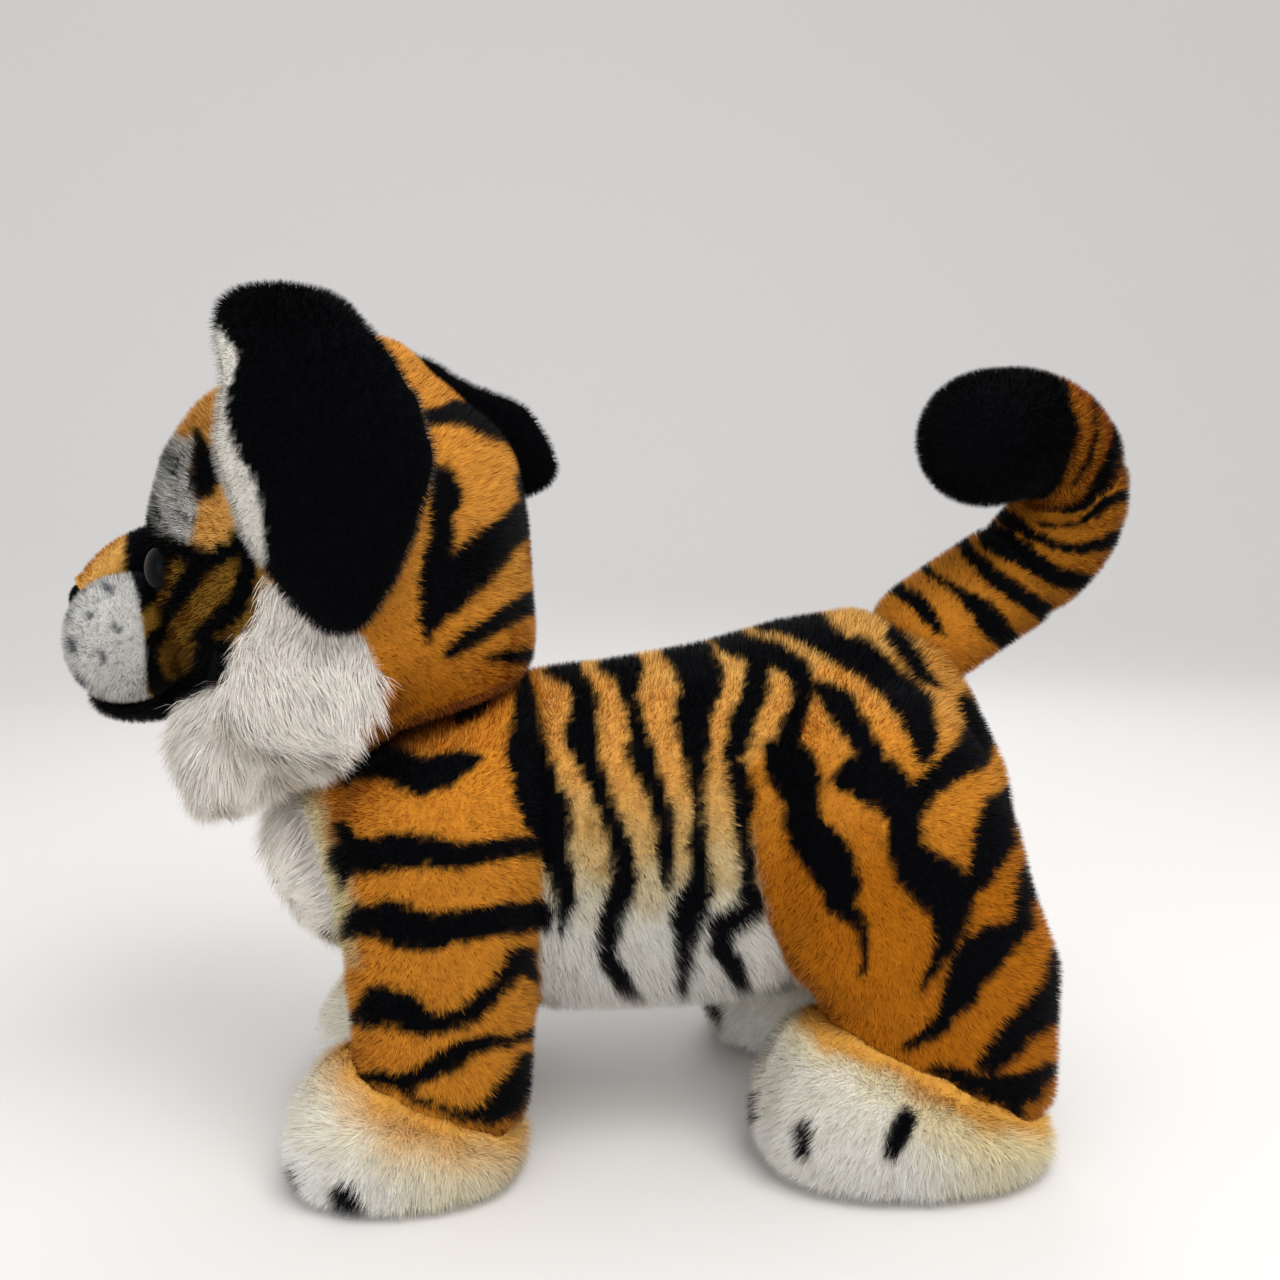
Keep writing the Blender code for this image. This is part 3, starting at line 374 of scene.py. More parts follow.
def inside_outline(u, v, outline):
    """How far inside a closed outline each place lies, in pixels. Outside it is negative."""
    closed = outline + outline[:1]
    crossings = np.zeros(len(u), dtype=int)
    for (u0, v0), (u1, v1) in zip(closed, closed[1:]):
        slope = (u1 - u0) / (v1 - v0) if v1 != v0 else 0.0
        crossings += ((v0 > v) != (v1 > v)) & (u < u0 + slope * (v - v0))
    away = distance(u, v, closed)
    return np.where(crossings % 2 == 1, away, -away)


def ramp(values, low, high):
    """A smooth step from 0 at low to 1 at high."""
    t = np.clip((values - low) / (high - low), 0, 1)
    return t * t * (3 - 2 * t)


def read_table(values, table):
    """A table's second column at the places that values have in its first."""
    return np.interp(values, *zip(*table))


def over(under, colour, share):
    """Lays a colour over what is under it, by a share for each place."""
    share = share[:, None]
    return under * (1 - share) + colour * share


def ripple(places, size_mm, seed):
    """Soft random values, about -1 to 1, that change over a size."""
    draw = np.random.default_rng(seed)
    waves = draw.normal(size=(8, 3)) * (1000 / size_mm)
    phases = draw.uniform(0, 2 * math.pi, 8)
    return np.sin(places @ waves.T + phases).mean(axis=1) * 2


def left_side(places):
    """The same places on the toy's left side."""
    mirrored = places.copy()
    mirrored[:, 1] = -np.abs(places[:, 1])
    return mirrored


def brushed_view(places, seed):
    """The picture's pixels for places, wavering a little as a printed stripe's edge does."""
    u, v = in_picture(left_side(places))
    across, down = (WAVER_PX * ripple(places, WAVER_MM, seed + k) for k in range(2))
    return u + across, v + down


print("a stripe's edge wavers by about", WAVER_PX, "pixels")

# %% [markdown]
# ## Where the stripes run
#
# Each row below is one stripe, from one end to the other: pixels from the picture's left and from
# its top, and half the stripe's width there. They were followed region by region.

# %% The stripes
FLANK_STRIPES = [
    [(526, 683, 4), (525, 702, 10), (525, 748, 20), (538, 791, 24), (550, 825, 23), (555, 849, 16),
     (563, 874, 11), (566, 898, 9), (563, 917, 4), (560, 931, 1)],
    [(546, 660, 9), (553, 667, 11), (572, 679, 12), (584, 698, 11), (581, 733, 17), (586, 758, 14),
     (595, 779, 11), (604, 797, 10), (610, 819, 9), (614, 837, 10), (622, 859, 11), (624, 877, 13),
     (619, 891, 14), (612, 906, 12), (606, 926, 10), (604, 947, 9), (612, 966, 10), (624, 981, 8),
     (639, 993, 4), (648, 997, 1)],
    [(606, 652, 16), (612, 660, 16), (627, 672, 14), (628, 684, 12), (628, 696, 9), (633, 712, 7),
     (636, 733, 9), (641, 751, 12), (647, 767, 13), (651, 782, 10), (659, 800, 9), (664, 822, 9),
     (665, 840, 10), (665, 859, 9), (664, 874, 6), (664, 889, 2)],
    [(673, 640, 18), (679, 648, 18), (691, 661, 23), (699, 675, 24), (700, 687, 21), (695, 702, 18),
     (691, 718, 18), (694, 736, 15), (695, 758, 12), (696, 779, 9), (697, 800, 6), (698, 825, 6),
     (698, 849, 7), (701, 868, 10), (698, 886, 12), (690, 901, 16), (683, 917, 15), (681, 932, 11),
     (680, 950, 8), (679, 972, 6), (678, 990, 2), (676, 1000, 1)],
    [(757, 663, 10), (757, 681, 12), (751, 702, 11), (742, 721, 13), (739, 739, 13), (733, 758, 9),
     (738, 776, 10), (742, 794, 10), (740, 816, 10), (742, 837, 8), (743, 856, 6), (745, 874, 6),
     (747, 889, 9), (752, 904, 9), (740, 912, 11), (719, 921, 14), (715, 938, 11), (725, 953, 10),
     (732, 967, 9), (739, 979, 8), (746, 989, 6), (752, 992, 2)],
    [(716, 631, 11), (725, 643, 11), (749, 652, 12), (774, 658, 12), (795, 667, 13), (803, 683, 10),
     (800, 702, 9), (795, 718, 9), (786, 735, 11), (782, 751, 17), (791, 767, 26), (798, 782, 23),
     (803, 797, 17), (802, 816, 17), (811, 837, 22), (826, 852, 24), (835, 868, 23), (841, 883, 20),
     (841, 898, 17), (847, 912, 11), (861, 923, 7), (863, 941, 5), (863, 960, 3), (863, 973, 1)],
    [(756, 617, 8), (762, 626, 9), (780, 626, 12), (801, 629, 15), (823, 638, 15), (841, 652, 13),
     (863, 667, 14), (884, 681, 14)],
]
THIGH_STRIPES = [
    [(859, 655, 17), (876, 673, 17), (896, 691, 16), (914, 712, 17), (923, 734, 15),
     (922, 752, 10)],
    [(822, 690, 9), (841, 706, 14), (855, 726, 13), (866, 746, 11), (874, 762, 14)],
    [(838, 778, 10), (855, 774, 18), (880, 782, 24), (900, 803, 21), (906, 828, 17), (900, 850, 15),
     (916, 868, 24), (938, 886, 28), (949, 906, 20), (951, 926, 14), (943, 946, 9), (931, 968, 6),
     (920, 985, 3)],
    [(960, 700, 6), (968, 718, 11), (976, 738, 15), (967, 757, 17), (945, 770, 15), (928, 787, 11),
     (917, 806, 8)],
    [(1003, 793, 8), (993, 814, 16), (991, 840, 20), (982, 867, 14), (968, 886, 9), (952, 898, 9)],
    [(1025, 859, 6), (1024, 881, 9), (1019, 906, 9), (1018, 925, 12), (1002, 936, 15),
     (980, 952, 21), (965, 972, 19), (957, 996, 15), (947, 1014, 11), (932, 1030, 9),
     (916, 1040, 6), (904, 1044, 3)],
    [(1050, 953, 6), (1054, 983, 12), (1040, 1008, 16), (1018, 1028, 16), (1003, 1047, 15),
     (988, 1061, 12)],
    [(924, 1067, 3), (946, 1072, 8), (975, 1083, 12), (1006, 1090, 16), (1027, 1084, 14),
     (1044, 1067, 6)],
    [(1008, 1093, 15), (1014, 1110, 7)],
    [(892, 636, 8), (906, 657, 10), (920, 673, 11), (935, 687, 3)],
]
FORE_LEG_STRIPES = [
    [(351, 780, 4), (362, 769, 10), (382, 764, 14), (404, 771, 18), (421, 778, 19), (438, 771, 15),
     (460, 762, 10), (478, 758, 4)],
    [(460, 721, 4), (473, 708, 10), (485, 699, 6), (493, 695, 2)],
    [(344, 825, 3), (349, 852, 11), (342, 888, 2)],
    [(352, 856, 19), (375, 854, 17), (408, 852, 16), (438, 852, 15), (467, 854, 12), (497, 851, 10),
     (519, 845, 10), (541, 845, 9)],
    [(343, 930, 4), (364, 919, 15), (386, 919, 18), (404, 928, 20), (426, 930, 18), (452, 925, 15),
     (482, 923, 15), (512, 917, 16), (541, 912, 14)],
    [(358, 1019, 3), (371, 1011, 16), (382, 1002, 19), (401, 1010, 20), (419, 1021, 16),
     (441, 1023, 10), (463, 1015, 9), (482, 1002, 8), (497, 987, 7), (508, 971, 10), (519, 958, 13),
     (529, 971, 7)],
    [(360, 1078, 2), (378, 1076, 6), (404, 1082, 9), (426, 1071, 10), (452, 1056, 11),
     (475, 1045, 10), (489, 1039, 7), (508, 1043, 4), (526, 1030, 4)],
    [(402, 1089, 3), (423, 1102, 3), (449, 1111, 4), (471, 1113, 6), (489, 1111, 11),
     (506, 1100, 16), (515, 1078, 13), (521, 1058, 5)],
]
HEAD_STRIPES = [
    [(258, 346, 7), (268, 368, 8), (284, 390, 7), (300, 404, 3)],
    [(303, 330, 7), (313, 356, 8), (330, 382, 7), (345, 396, 3)],
    [(348, 326, 6), (360, 350, 8), (378, 374, 6), (388, 386, 2)],
    [(427, 421, 8), (447, 414, 9), (466, 416, 11), (485, 426, 11), (504, 437, 8), (517, 451, 6)],
    [(440, 480, 13), (445, 496, 17), (441, 515, 13), (440, 534, 12), (437, 556, 15), (439, 579, 20),
     (435, 604, 16), (427, 623, 10), (424, 639, 3)],
    [(520, 480, 11), (524, 502, 11), (514, 525, 14), (494, 544, 16), (475, 560, 19), (456, 579, 21),
     (440, 598, 19)],
    [(537, 591, 6), (526, 601, 10), (507, 614, 10), (488, 627, 9), (469, 639, 8), (453, 650, 7),
     (445, 655, 3)],
    [(532, 649, 5), (517, 654, 6), (501, 657, 4), (482, 658, 1)],
]
FACE_STRIPES = [
    [(231, 372, 4), (219, 381, 6), (206, 391, 4), (190, 404, 2)],
    [(198, 438, 5), (208, 455, 13), (210, 474, 13), (204, 490, 8), (197, 500, 3)],
    [(126, 520, 6), (144, 528, 14), (146, 556, 22), (145, 588, 16), (140, 604, 7)],
    [(160, 548, 10), (185, 553, 11), (210, 558, 9), (234, 546, 10), (248, 528, 8)],
    [(248, 545, 9), (246, 570, 11), (242, 594, 11), (230, 612, 12), (213, 625, 10), (200, 634, 9)],
    [(205, 562, 9), (192, 580, 9), (180, 598, 8), (170, 615, 6), (163, 628, 4)],
    [(166, 566, 5), (158, 582, 4), (150, 600, 2)],
    [(206, 642, 11), (210, 656, 15), (208, 674, 15), (195, 687, 11), (175, 693, 8), (158, 687, 8),
     (150, 668, 8), (148, 650, 8), (155, 638, 8), (166, 632, 5)],
    [(224, 645, 7), (222, 668, 8)],
]
regions = (FLANK_STRIPES, THIGH_STRIPES, FORE_LEG_STRIPES, HEAD_STRIPES, FACE_STRIPES)
print("stripes:", sum(map(len, regions)))

# %% [markdown]
# ## Shaping in places
#
# Voxels give even but plain forms. A few places are then shaped as with a sculptor's brushes:
# points are pushed, smoothed in one area, or pressed in along a crease. What is shaped is found by
# where it lies in the picture, since that is what the form is matched to.


# %% Shaping
def vertex_normals(mesh):
    normals = np.empty(len(mesh.vertices) * 3)
    mesh.vertex_normals.foreach_get("vector", normals)
    return normals.reshape(-1, 3)


def seen_points(skin):
    """A skin's points, and where they lie in the picture."""
    places = vertex_places(skin.data)
    return (places, *in_picture(left_side(places)))


def across_picture(places, pixels):
    """Moves, in metres, that shift places sideways in the picture by pixels."""
    away = -((places - CAMERA_AT) @ camera_axes[:, 2])
    metres = pixels * away * SENSOR_MM / (PICTURE_PX * LENS_MM)
    return metres[:, None] * camera_axes[:, 0] * np.array([1, 0, 1])


def soften(skin, share, rounds):
    """Smooths a skin by a share for each point."""
    group = skin.vertex_groups.new(name="soft")
    for index in np.nonzero(share > 0.02)[0]:
        group.add([int(index)], float(share[index]), "REPLACE")
    apply_modifier(skin, "SMOOTH", factor=0.5, iterations=rounds, vertex_group="soft")
    skin.vertex_groups.clear()


def press_creases(skin, lines, depth_mm, width_px):
    """Presses creases into a skin's sides, along lines of points in the picture."""
    places, u, v = seen_points(skin)
    normals = vertex_normals(skin.data)
    deep = np.zeros(len(places))
    for line in lines:
        deep = np.maximum(deep, np.exp(-((distance(u, v, line) / width_px) ** 2)))
    outer = ramp(np.abs(normals[:, 1]), 0.15, 0.5)
    push(skin, -normals * (deep * outer * depth_mm / 1000)[:, None])


print("shaping helpers are ready")

# %% [markdown]
# ## Where fibres stand
#
# A fibre needs a place on its skin and the skin's direction there. Places are drawn at random over
# the triangles, by area. A triangle that lies close against another bag, or inside it, gets none:
# no one sees it, and its fibres would poke through the neighbour. Which ones these are is found by
# a ray from each triangle, straight out.

# %% Scattering fibres
NEIGHBOUR_MM = 2.5
CM2_PER_M2 = 10000


def unit(vectors):
    return vectors / (np.linalg.norm(vectors, axis=1)[:, None] + 1e-12)


class Cloth:
    """A skin's triangles, ready for fibres to be set in them."""

    def __init__(self, skin, neighbours=()):
        mesh = skin.data
        mesh.calc_loop_triangles()
        corners = np.empty(len(mesh.loop_triangles) * 3, dtype=np.int32)
        mesh.loop_triangles.foreach_get("vertices", corners)
        self.skin = skin
        self.places = vertex_places(mesh)
        self.normals = vertex_normals(mesh)
        self.corners = corners.reshape(-1, 3)
        a, b, c = (self.places[self.corners[:, k]] for k in range(3))
        across = np.cross(b - a, c - a)
        self.areas = np.linalg.norm(across, axis=1) / 2
        self.middles = (a + b + c) / 3
        self.facing = unit(across)
        for neighbour in neighbours:
            self.close_against(neighbour)

    def close_against(self, neighbour):
        """Takes away the area of the triangles that lie against or inside a neighbour."""
        points = vertex_places(neighbour.data)
        low, high = points.min(axis=0) - 0.01, points.max(axis=0) + 0.01
        near = np.nonzero(((self.middles > low) & (self.middles < high)).all(axis=1))[0]
        faces = [face.vertices for face in neighbour.data.polygons]
        tree = BVHTree.FromPolygons([tuple(point) for point in points], faces)
        for k in near:
            facing = Vector(self.facing[k])
            spot, normal, _, reach = tree.ray_cast(Vector(self.middles[k]), facing)
            if spot and (reach < NEIGHBOUR_MM / 1000 or normal.dot(facing) > 0):
                self.areas[k] = 0.0

    def scatter(self, per_cm2, share, draw):
        """Random places and their normals, per_cm2 of them where the share is 1."""
        chances = self.areas * share
        count = int(chances.sum() * CM2_PER_M2 * per_cm2)
        picks = draw.choice(len(chances), size=count, p=chances / chances.sum())
        s, t = draw.random(count), draw.random(count)
        folded = s + t > 1
        s[folded], t[folded] = 1 - s[folded], 1 - t[folded]
        shares = np.stack([1 - s - t, s, t], axis=1)[:, :, None]
        corners = self.corners[picks]
        places = (self.places[corners] * shares).sum(axis=1)
        return places, unit((self.normals[corners] * shares).sum(axis=1))


print("fibres stay clear of neighbours within", NEIGHBOUR_MM, "mm")

# %% [markdown]
# ## How fibres lie
#
# Each fibre stands on its skin, leans the way the cloth is brushed, and leans together with its
# neighbours in locks a few millimetres wide. That gives plush its broken, velvety look. A coat is a
# function that says, for any places, the fibres' colour, length, brushing and how upright they are.

# %% Brushing fibres
SHORT_PILE = dict(per_cm2=236, width_mm=0.32, steps=1, gather=0.28, lock_mm=2.9, tousle=0.35)
LONG_PILE = dict(per_cm2=225, width_mm=0.26, steps=2, gather=0.5, lock_mm=4.5, tousle=0.85)
FINE_PILE = dict(per_cm2=380, width_mm=0.265, steps=1, gather=0.25, lock_mm=2.6, tousle=0.35)
SWIRL_MM = 6.3
STRAY = 0.09
STRAY_TOUSLED = 0.12
LOCK_WAVER = 0.8
LENGTHS = (0.75, 1.1)
GATHERING = (0.2, 1.0)
FIBRE_TONES = (0.86, 1.08)
LOCK_TONE = 0.6
OFF_THE_FLOOR = 0.0004
SORTING_HEIGHT = 0.003


def lock_means(values, locks):
    """The mean of the values in each lock, given back to every fibre of it."""
    _, member = np.unique(locks, axis=0, return_inverse=True)
    member = member.reshape(-1)
    counts = np.bincount(member)
    means = [np.bincount(member, values[:, k]) / counts for k in range(values.shape[1])]
    return np.stack(means, axis=1)[member]


def ripples(places, size_mm, seed):
    """A soft random direction for each place."""
    return np.stack([ripple(places, size_mm, seed + k) for k in range(3)], axis=1)


def brushed_fibres(cloth, coat, pile, draw):
    """Roots, directions, lengths and colours of a pile, sorted so that near fibres lie together."""
    share = coat(cloth.middles, cloth.facing).get("share", 1.0)
    roots, normals = cloth.scatter(pile["per_cm2"], share, draw)
    count = len(roots)
    look = coat(roots, normals)
    tousle, lock_mm = pile["tousle"], pile["lock_mm"]
    brush = look["brush"] + tousle * ripples(roots, SWIRL_MM / tousle, 200)
    brush = unit(brush - normals * (brush * normals).sum(axis=1)[:, None])
    upright = np.broadcast_to(look["upright"], count)[:, None]
    stray = draw.normal(0, STRAY + STRAY_TOUSLED * tousle, (count, 3))
    lean = unit(normals * upright + brush * (1 - upright) + stray)
    lengths = np.broadcast_to(look["length_mm"], count) / 1000 * draw.uniform(*LENGTHS, count)
    tips = roots + lean * lengths[:, None]
    waver = LOCK_WAVER * ripples(roots, lock_mm * 2, 210)
    locks = np.floor(roots / (lock_mm / 1000) + waver).astype(np.int64)
    gathering = draw.uniform(*GATHERING, count)[:, None]
    tips += (lock_means(tips, locks) - tips) * pile["gather"] * gathering
    tips[:, 2] = np.maximum(tips[:, 2], OFF_THE_FLOOR)
    shade = lock_means(draw.uniform(-1, 1, (count, 1)), locks) * LOCK_TONE
    colours = look["colour"] * (draw.uniform(*FIBRE_TONES, count)[:, None] + shade)
    rows = np.round(roots[:, 2] / SORTING_HEIGHT)
    order = np.lexsort((roots[:, 0], rows, roots[:, 1] > 0))
    fibres = {"roots": roots, "normals": normals, "brush": brush, "lean": unit(tips - roots)}
    fibres |= {"lengths": lengths, "colours": colours}
    return {key: values[order] for key, values in fibres.items()}


print("piles a square centimetre:", [p["per_cm2"] for p in (SHORT_PILE, LONG_PILE, FINE_PILE)])

# %% [markdown]
# ## Fibres as blades
#
# A hair system looks the part in a render, but a hair has no mesh. Each fibre is therefore a narrow
# blade that comes to a point: one triangle for short pile, three for long pile, which bends. The
# blades take the skin's normals, so that the pile is lit as one soft surface. All blades of a pile
# share a grid of small squares on a UV map named OFBake, where their colours can be baked.

# %% Blades
ROOT_DEPTH = 0.0006
# Painted shade and light: each blade is coloured darker at the root and lighter at the tip.
ROOT_SHADE = 0.78
TIP_SHADE = 1.12
TWIST = 0.25
WIDTHS = (0.8, 1.2)
BEND = 0.4
TAPER = 0.4
LIT_LEAN = 0.25


def blade_rows(fibres, width_mm, steps, draw):
    """The blades' points from root to tip, with their tints and their places in a UV square.
    The tints are painted shade at the root and painted light at the tip.
    """
    count = len(fibres["roots"])
    side = np.cross(fibres["lean"], fibres["normals"]) + draw.normal(0, TWIST, (count, 3))
    half = unit(side) * (width_mm / 2000) * draw.uniform(*WIDTHS, count)[:, None]
    bottom = fibres["roots"] - fibres["normals"] * ROOT_DEPTH
    points, tints, squares = [], [], []
    for k in range(steps + 1):
        share = k / steps
        bend = fibres["brush"] * (BEND * share * share if steps > 1 else 0.0)
        middle = bottom + unit(fibres["lean"] + bend) * (fibres["lengths"] * share)[:, None]
        # Painted shade at the root, painted light at the tip.
        tint = fibres["colours"] * (ROOT_SHADE + (TIP_SHADE - ROOT_SHADE) * share)
        if k == steps:
            points.append(middle)
            tints.append(tint)
            squares.append((0.5, 0.9))
        else:
            thin = 1 - TAPER * share
            points += [middle - half * thin, middle + half * thin]
            tints += [tint, tint]
            squares += [(0.1, 0.1 + 0.8 * share), (0.9, 0.1 + 0.8 * share)]
    return np.stack(points, axis=1), np.stack(tints, axis=1), np.array(squares)


def store_colours(mesh, colours):
    """Keeps a colour for each point of a mesh, where the coat's materials read it."""
    rgba = np.ones((len(mesh.vertices), 4))
    rgba[:, :3] = np.clip(colours, 0, 1)
    paint = mesh.color_attributes.new("Coat", "FLOAT_COLOR", "POINT")
    paint.data.foreach_set("color", rgba.reshape(-1).astype(np.float32))


def blade_mesh(name, fibres, width_mm, steps, grid, draw):
    """One mesh of all the blades, with its colours, its UV grid and its soft normals."""
    points, tints, squares = blade_rows(fibres, width_mm, steps, draw)
    count, row = points.shape[:2]
    triangles = []
    for k in range(0, 2 * (steps - 1), 2):
        triangles += [(k, k + 1, k + 3), (k, k + 3, k + 2)]
    triangles.append((row - 3, row - 2, row - 1))
    corners = (np.arange(count)[:, None, None] * row + np.array(triangles)[None]).reshape(-1)
    mesh = bpy.data.meshes.new(name)
    mesh.vertices.add(count * row)
    mesh.vertices.foreach_set("co", points.reshape(-1).astype(np.float32))
    mesh.loops.add(len(corners))
    mesh.loops.foreach_set("vertex_index", corners.astype(np.int32))
    mesh.polygons.add(len(corners) // 3)
    mesh.polygons.foreach_set("loop_start", np.arange(0, len(corners), 3, dtype=np.int32))
    mesh.polygons.foreach_set("use_smooth", np.ones(len(corners) // 3, dtype=bool))
    mesh.update(calc_edges=True)
    store_colours(mesh, tints.reshape(-1, 3))
    square = (np.arange(count) * grid * grid // count)[corners // row]
    uv = (np.stack([square % grid, square // grid], axis=1) + squares[corners % row]) / grid
    uv_map = mesh.uv_layers.new(name="OFBake")
    uv_map.data.foreach_set("uv", uv.reshape(-1).astype(np.float32))
    soft = unit(np.repeat(fibres["normals"] + LIT_LEAN * fibres["lean"], row, axis=0))
    mesh.normals_split_custom_set_from_vertices(soft.astype(np.float32))
    return mesh


print("a blade is rooted", ROOT_DEPTH * 1000, "mm under its skin")

# %% [markdown]
# ## Growing a pile
#
# The last step puts the parts together: a pile is its own piece, rides on the same body as its
# skin, and prints the same pattern on the backing, so that nothing pale shows between black fibres.


def grow_pile(name, cloth, body, coat, pile, seed):
    """A pile on a cloth, from a coat."""
    draw = np.random.default_rng(seed)
    fibres = brushed_fibres(cloth, coat, pile, draw)
    extent = np.ptp(fibres["roots"], axis=0).max()
    grid = 256 if extent > 0.25 else 128 if extent > 0.08 else 64
    mesh = blade_mesh(name, fibres, pile["width_mm"], pile["steps"], grid, draw)
    made = bpy.data.objects.new(name, mesh)
    bpy.context.scene.collection.objects.link(made)
    made.data.materials.append(pile_material)
    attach(made, body)
    if "Coat" not in cloth.skin.data.color_attributes:
        store_colours(cloth.skin.data, coat(cloth.places, cloth.normals)["colour"])
    print(f"{name}: {len(fibres['roots'])} fibres, {len(made.data.polygons)} triangles")


def part_of(coat, side, low=-1.0, high=1.0):
    """A coat on one side only, between two distances along the toy."""

    def part(places, normals):
        look = coat(places, normals)
        inside = (places[:, 1] * side > 0) & (places[:, 0] >= low) & (places[:, 0] < high)
        return look | {"share": look.get("share", 1.0) * inside}

    return part


# %% [markdown]
# ## The bags
#
# All bags are made before any pile is grown, because fibres stay clear of neighbouring bags. The
# trunk and the sleeves are one sewn bag, so that the shoulders and thighs flow into the back. The
# paws are bags of their own, fuller than the sleeves, and meet them at the slanting ankle seam.

# %% Bags
LEGS = ("front_left", "front_right", "rear_left", "rear_right")
trunk_nodes = ["trunk_cover", "belly_panel", "chest_bib", "trunk_filling"]
for leg in LEGS:
    trunk_nodes += [f"{leg}_sleeve", f"{leg}_filling"]
trunk = sewn_skin("trunk_skin", "body", trunk_nodes, 3.4)
paws = {}
for leg in LEGS:
    nodes = [f"{leg}_paw", f"{leg}_sole"]
    paws[leg] = sewn_skin(f"{leg}_paw_skin", "body", nodes, 3.6, 3.0, 6)
nodes = ["head_cover", "head_filling", "cheek_ruff_left", "cheek_ruff_right", "throat_ruff"]
head = sewn_skin("head_skin", "head", nodes, 3.6, 3.0)
nodes = ["muzzle_left", "muzzle_right"]
muzzle = sewn_skin("muzzle_skin", "head", nodes, 5.5, 2.0, 5)
bridge = sewn_skin("nose_bridge_skin", "head", ["nose_bridge"], 2.0, 1.5, 5)
chin = sewn_skin("chin_skin", "head", ["chin"], 3.0, 1.5, 4)
nose = sewn_skin("nose_skin", "head", ["nose"], 0.8, 1.0, 4)

# %% [markdown]
# ## The trunk's form
#
# The sleeves' tops are softened into the trunk, the rump is drawn in under the tail and out over
# the hocks, and the chest is filled out. Each row of a shift is a height in the picture and how far
# the outline moves there, both in pixels. Then the creases of the legs' darts are pressed in.

# %% Trunk's form
LEG_TOPS = [(-0.085, 0.10, 0.14), (0.120, 0.12, 0.16)]
LEG_TOP_REACH = 0.085
RUMP_SHIFT_PX = [
    (655, 0), (685, -20), (715, -22), (740, -18), (770, -8), (830, 6), (900, 8), (966, 13),
    (1034, 3),
]
CHEST_SHIFT_PX = [(740, 0), (790, -24), (830, -28), (880, -18), (930, -4), (960, 0)]
DARTS = [
    [(536, 690), (541, 780), (544, 860), (541, 940), (538, 1020)],
    [(744, 770), (750, 850), (762, 915), (788, 975), (812, 1012)],
]
DART_DEPTH_MM = 5.0
DART_WIDTH_PX = 9
places = vertex_places(trunk.data)
fore, aft = (
    ramp(LEG_TOP_REACH - np.abs(places[:, 0] - along), 0.0, 0.03) * ramp(places[:, 2], low, high)
    for along, low, high in LEG_TOPS
)
soften(trunk, np.maximum(fore, aft) * ramp(np.abs(places[:, 1]), 0.03, 0.06), 30)
places, u, v = seen_points(trunk)
rump = read_table(v, RUMP_SHIFT_PX) * ramp(places[:, 0], 0.10, 0.165)
chest = read_table(v, CHEST_SHIFT_PX) * ramp(-places[:, 0], 0.10, 0.13)
push(trunk, across_picture(places, rump + chest))
press_creases(trunk, DARTS, DART_DEPTH_MM, DART_WIDTH_PX)
stuff(trunk)

# %% [markdown]
# ## The paws' form
#
# On the real toy the paw's cloth is gathered onto the leg at a slanting seam and puffs out under
# it. Here each paw's upper lip is drawn in against the sleeve, and its outer side is filled out.

# %% Paws' form
ANKLES = {"front": (-0.0775, 0.038), "rear": (0.143, 0.042)}
ANKLE_TILT_DEG = 22.4
LIP_MM = 4.0
LIP_DEPTH = 0.006
PUFF_MM = 5.0


def under_ankle(places, ankle):
    """The depth under the slanting ankle seam, in metres."""
    tilt = math.radians(ANKLE_TILT_DEG)
    return (ankle[0] - places[:, 0]) * math.sin(tilt) + (ankle[1] - places[:, 2]) * math.cos(tilt)


def shape_paw(paw, ankle):
    """Draws a paw's lip in against the sleeve and fills out its outer side."""
    places = vertex_places(paw.data)
    depth = under_ankle(places, ankle)
    inwards = places[depth < LIP_DEPTH].mean(axis=0) - places
    inwards[:, 2] = 0.0
    moves = unit(inwards) * (LIP_MM / 1000 * ramp(-depth, -0.012, -0.002))[:, None]
    side = np.sign(places[:, 1].mean())
    outer = ramp(vertex_normals(paw.data)[:, 1] * side, 0.0, 0.7)
    moves[:, 1] += side * PUFF_MM / 1000 * outer * ramp(depth, 0.004, 0.016)
    push(paw, moves)


for leg, paw in paws.items():
    shape_paw(paw, ANKLES[leg.split("_")[0]])
    stuff(paw)


# %% [markdown]
# ## The head's form
#
# The throat is drawn back a little, and the muzzle's front too, so that the long pile ends where it
# does on the real toy. The crown between the ears is lowered, and the cover's low rear is lifted
# off the shoulders. The muzzle's and the bridge's rears are seated deeper in the face, so that no
# light shows between these bags.

# %% Head's form
THROAT_SHIFT_PX = 22
MUZZLE_SHIFT_PX = 9
CROWN_DROP = 0.0075
COLLAR_LIFT = 0.005
SEAT_DEPTH = 0.009
HEAD_CAP_MM = 2.0
places, u, v = seen_points(head)
throat = THROAT_SHIFT_PX * ramp(-u, -215, -165) * ramp(v, 680, 725)
push(head, across_picture(places, throat))
crown = ramp(u, 385, 435) * (1 - ramp(u, 500, 540)) * ramp(-v, -450, -390)
collar = ramp(u, 350, 400) * ramp(v, 680, 735)
push(head, np.outer(COLLAR_LIFT * collar - CROWN_DROP * crown, [0, 0, 1]))
places, u, v = seen_points(muzzle)
push(muzzle, across_picture(places, MUZZLE_SHIFT_PX * ramp(-u, -150, -90)))
for piece in (muzzle, bridge):
    rear = ramp(vertex_places(piece.data)[:, 0], -0.222, -0.203)
    push(piece, np.outer(SEAT_DEPTH * rear, [1, 0, 0.15]))
stuff(head, HEAD_CAP_MM)
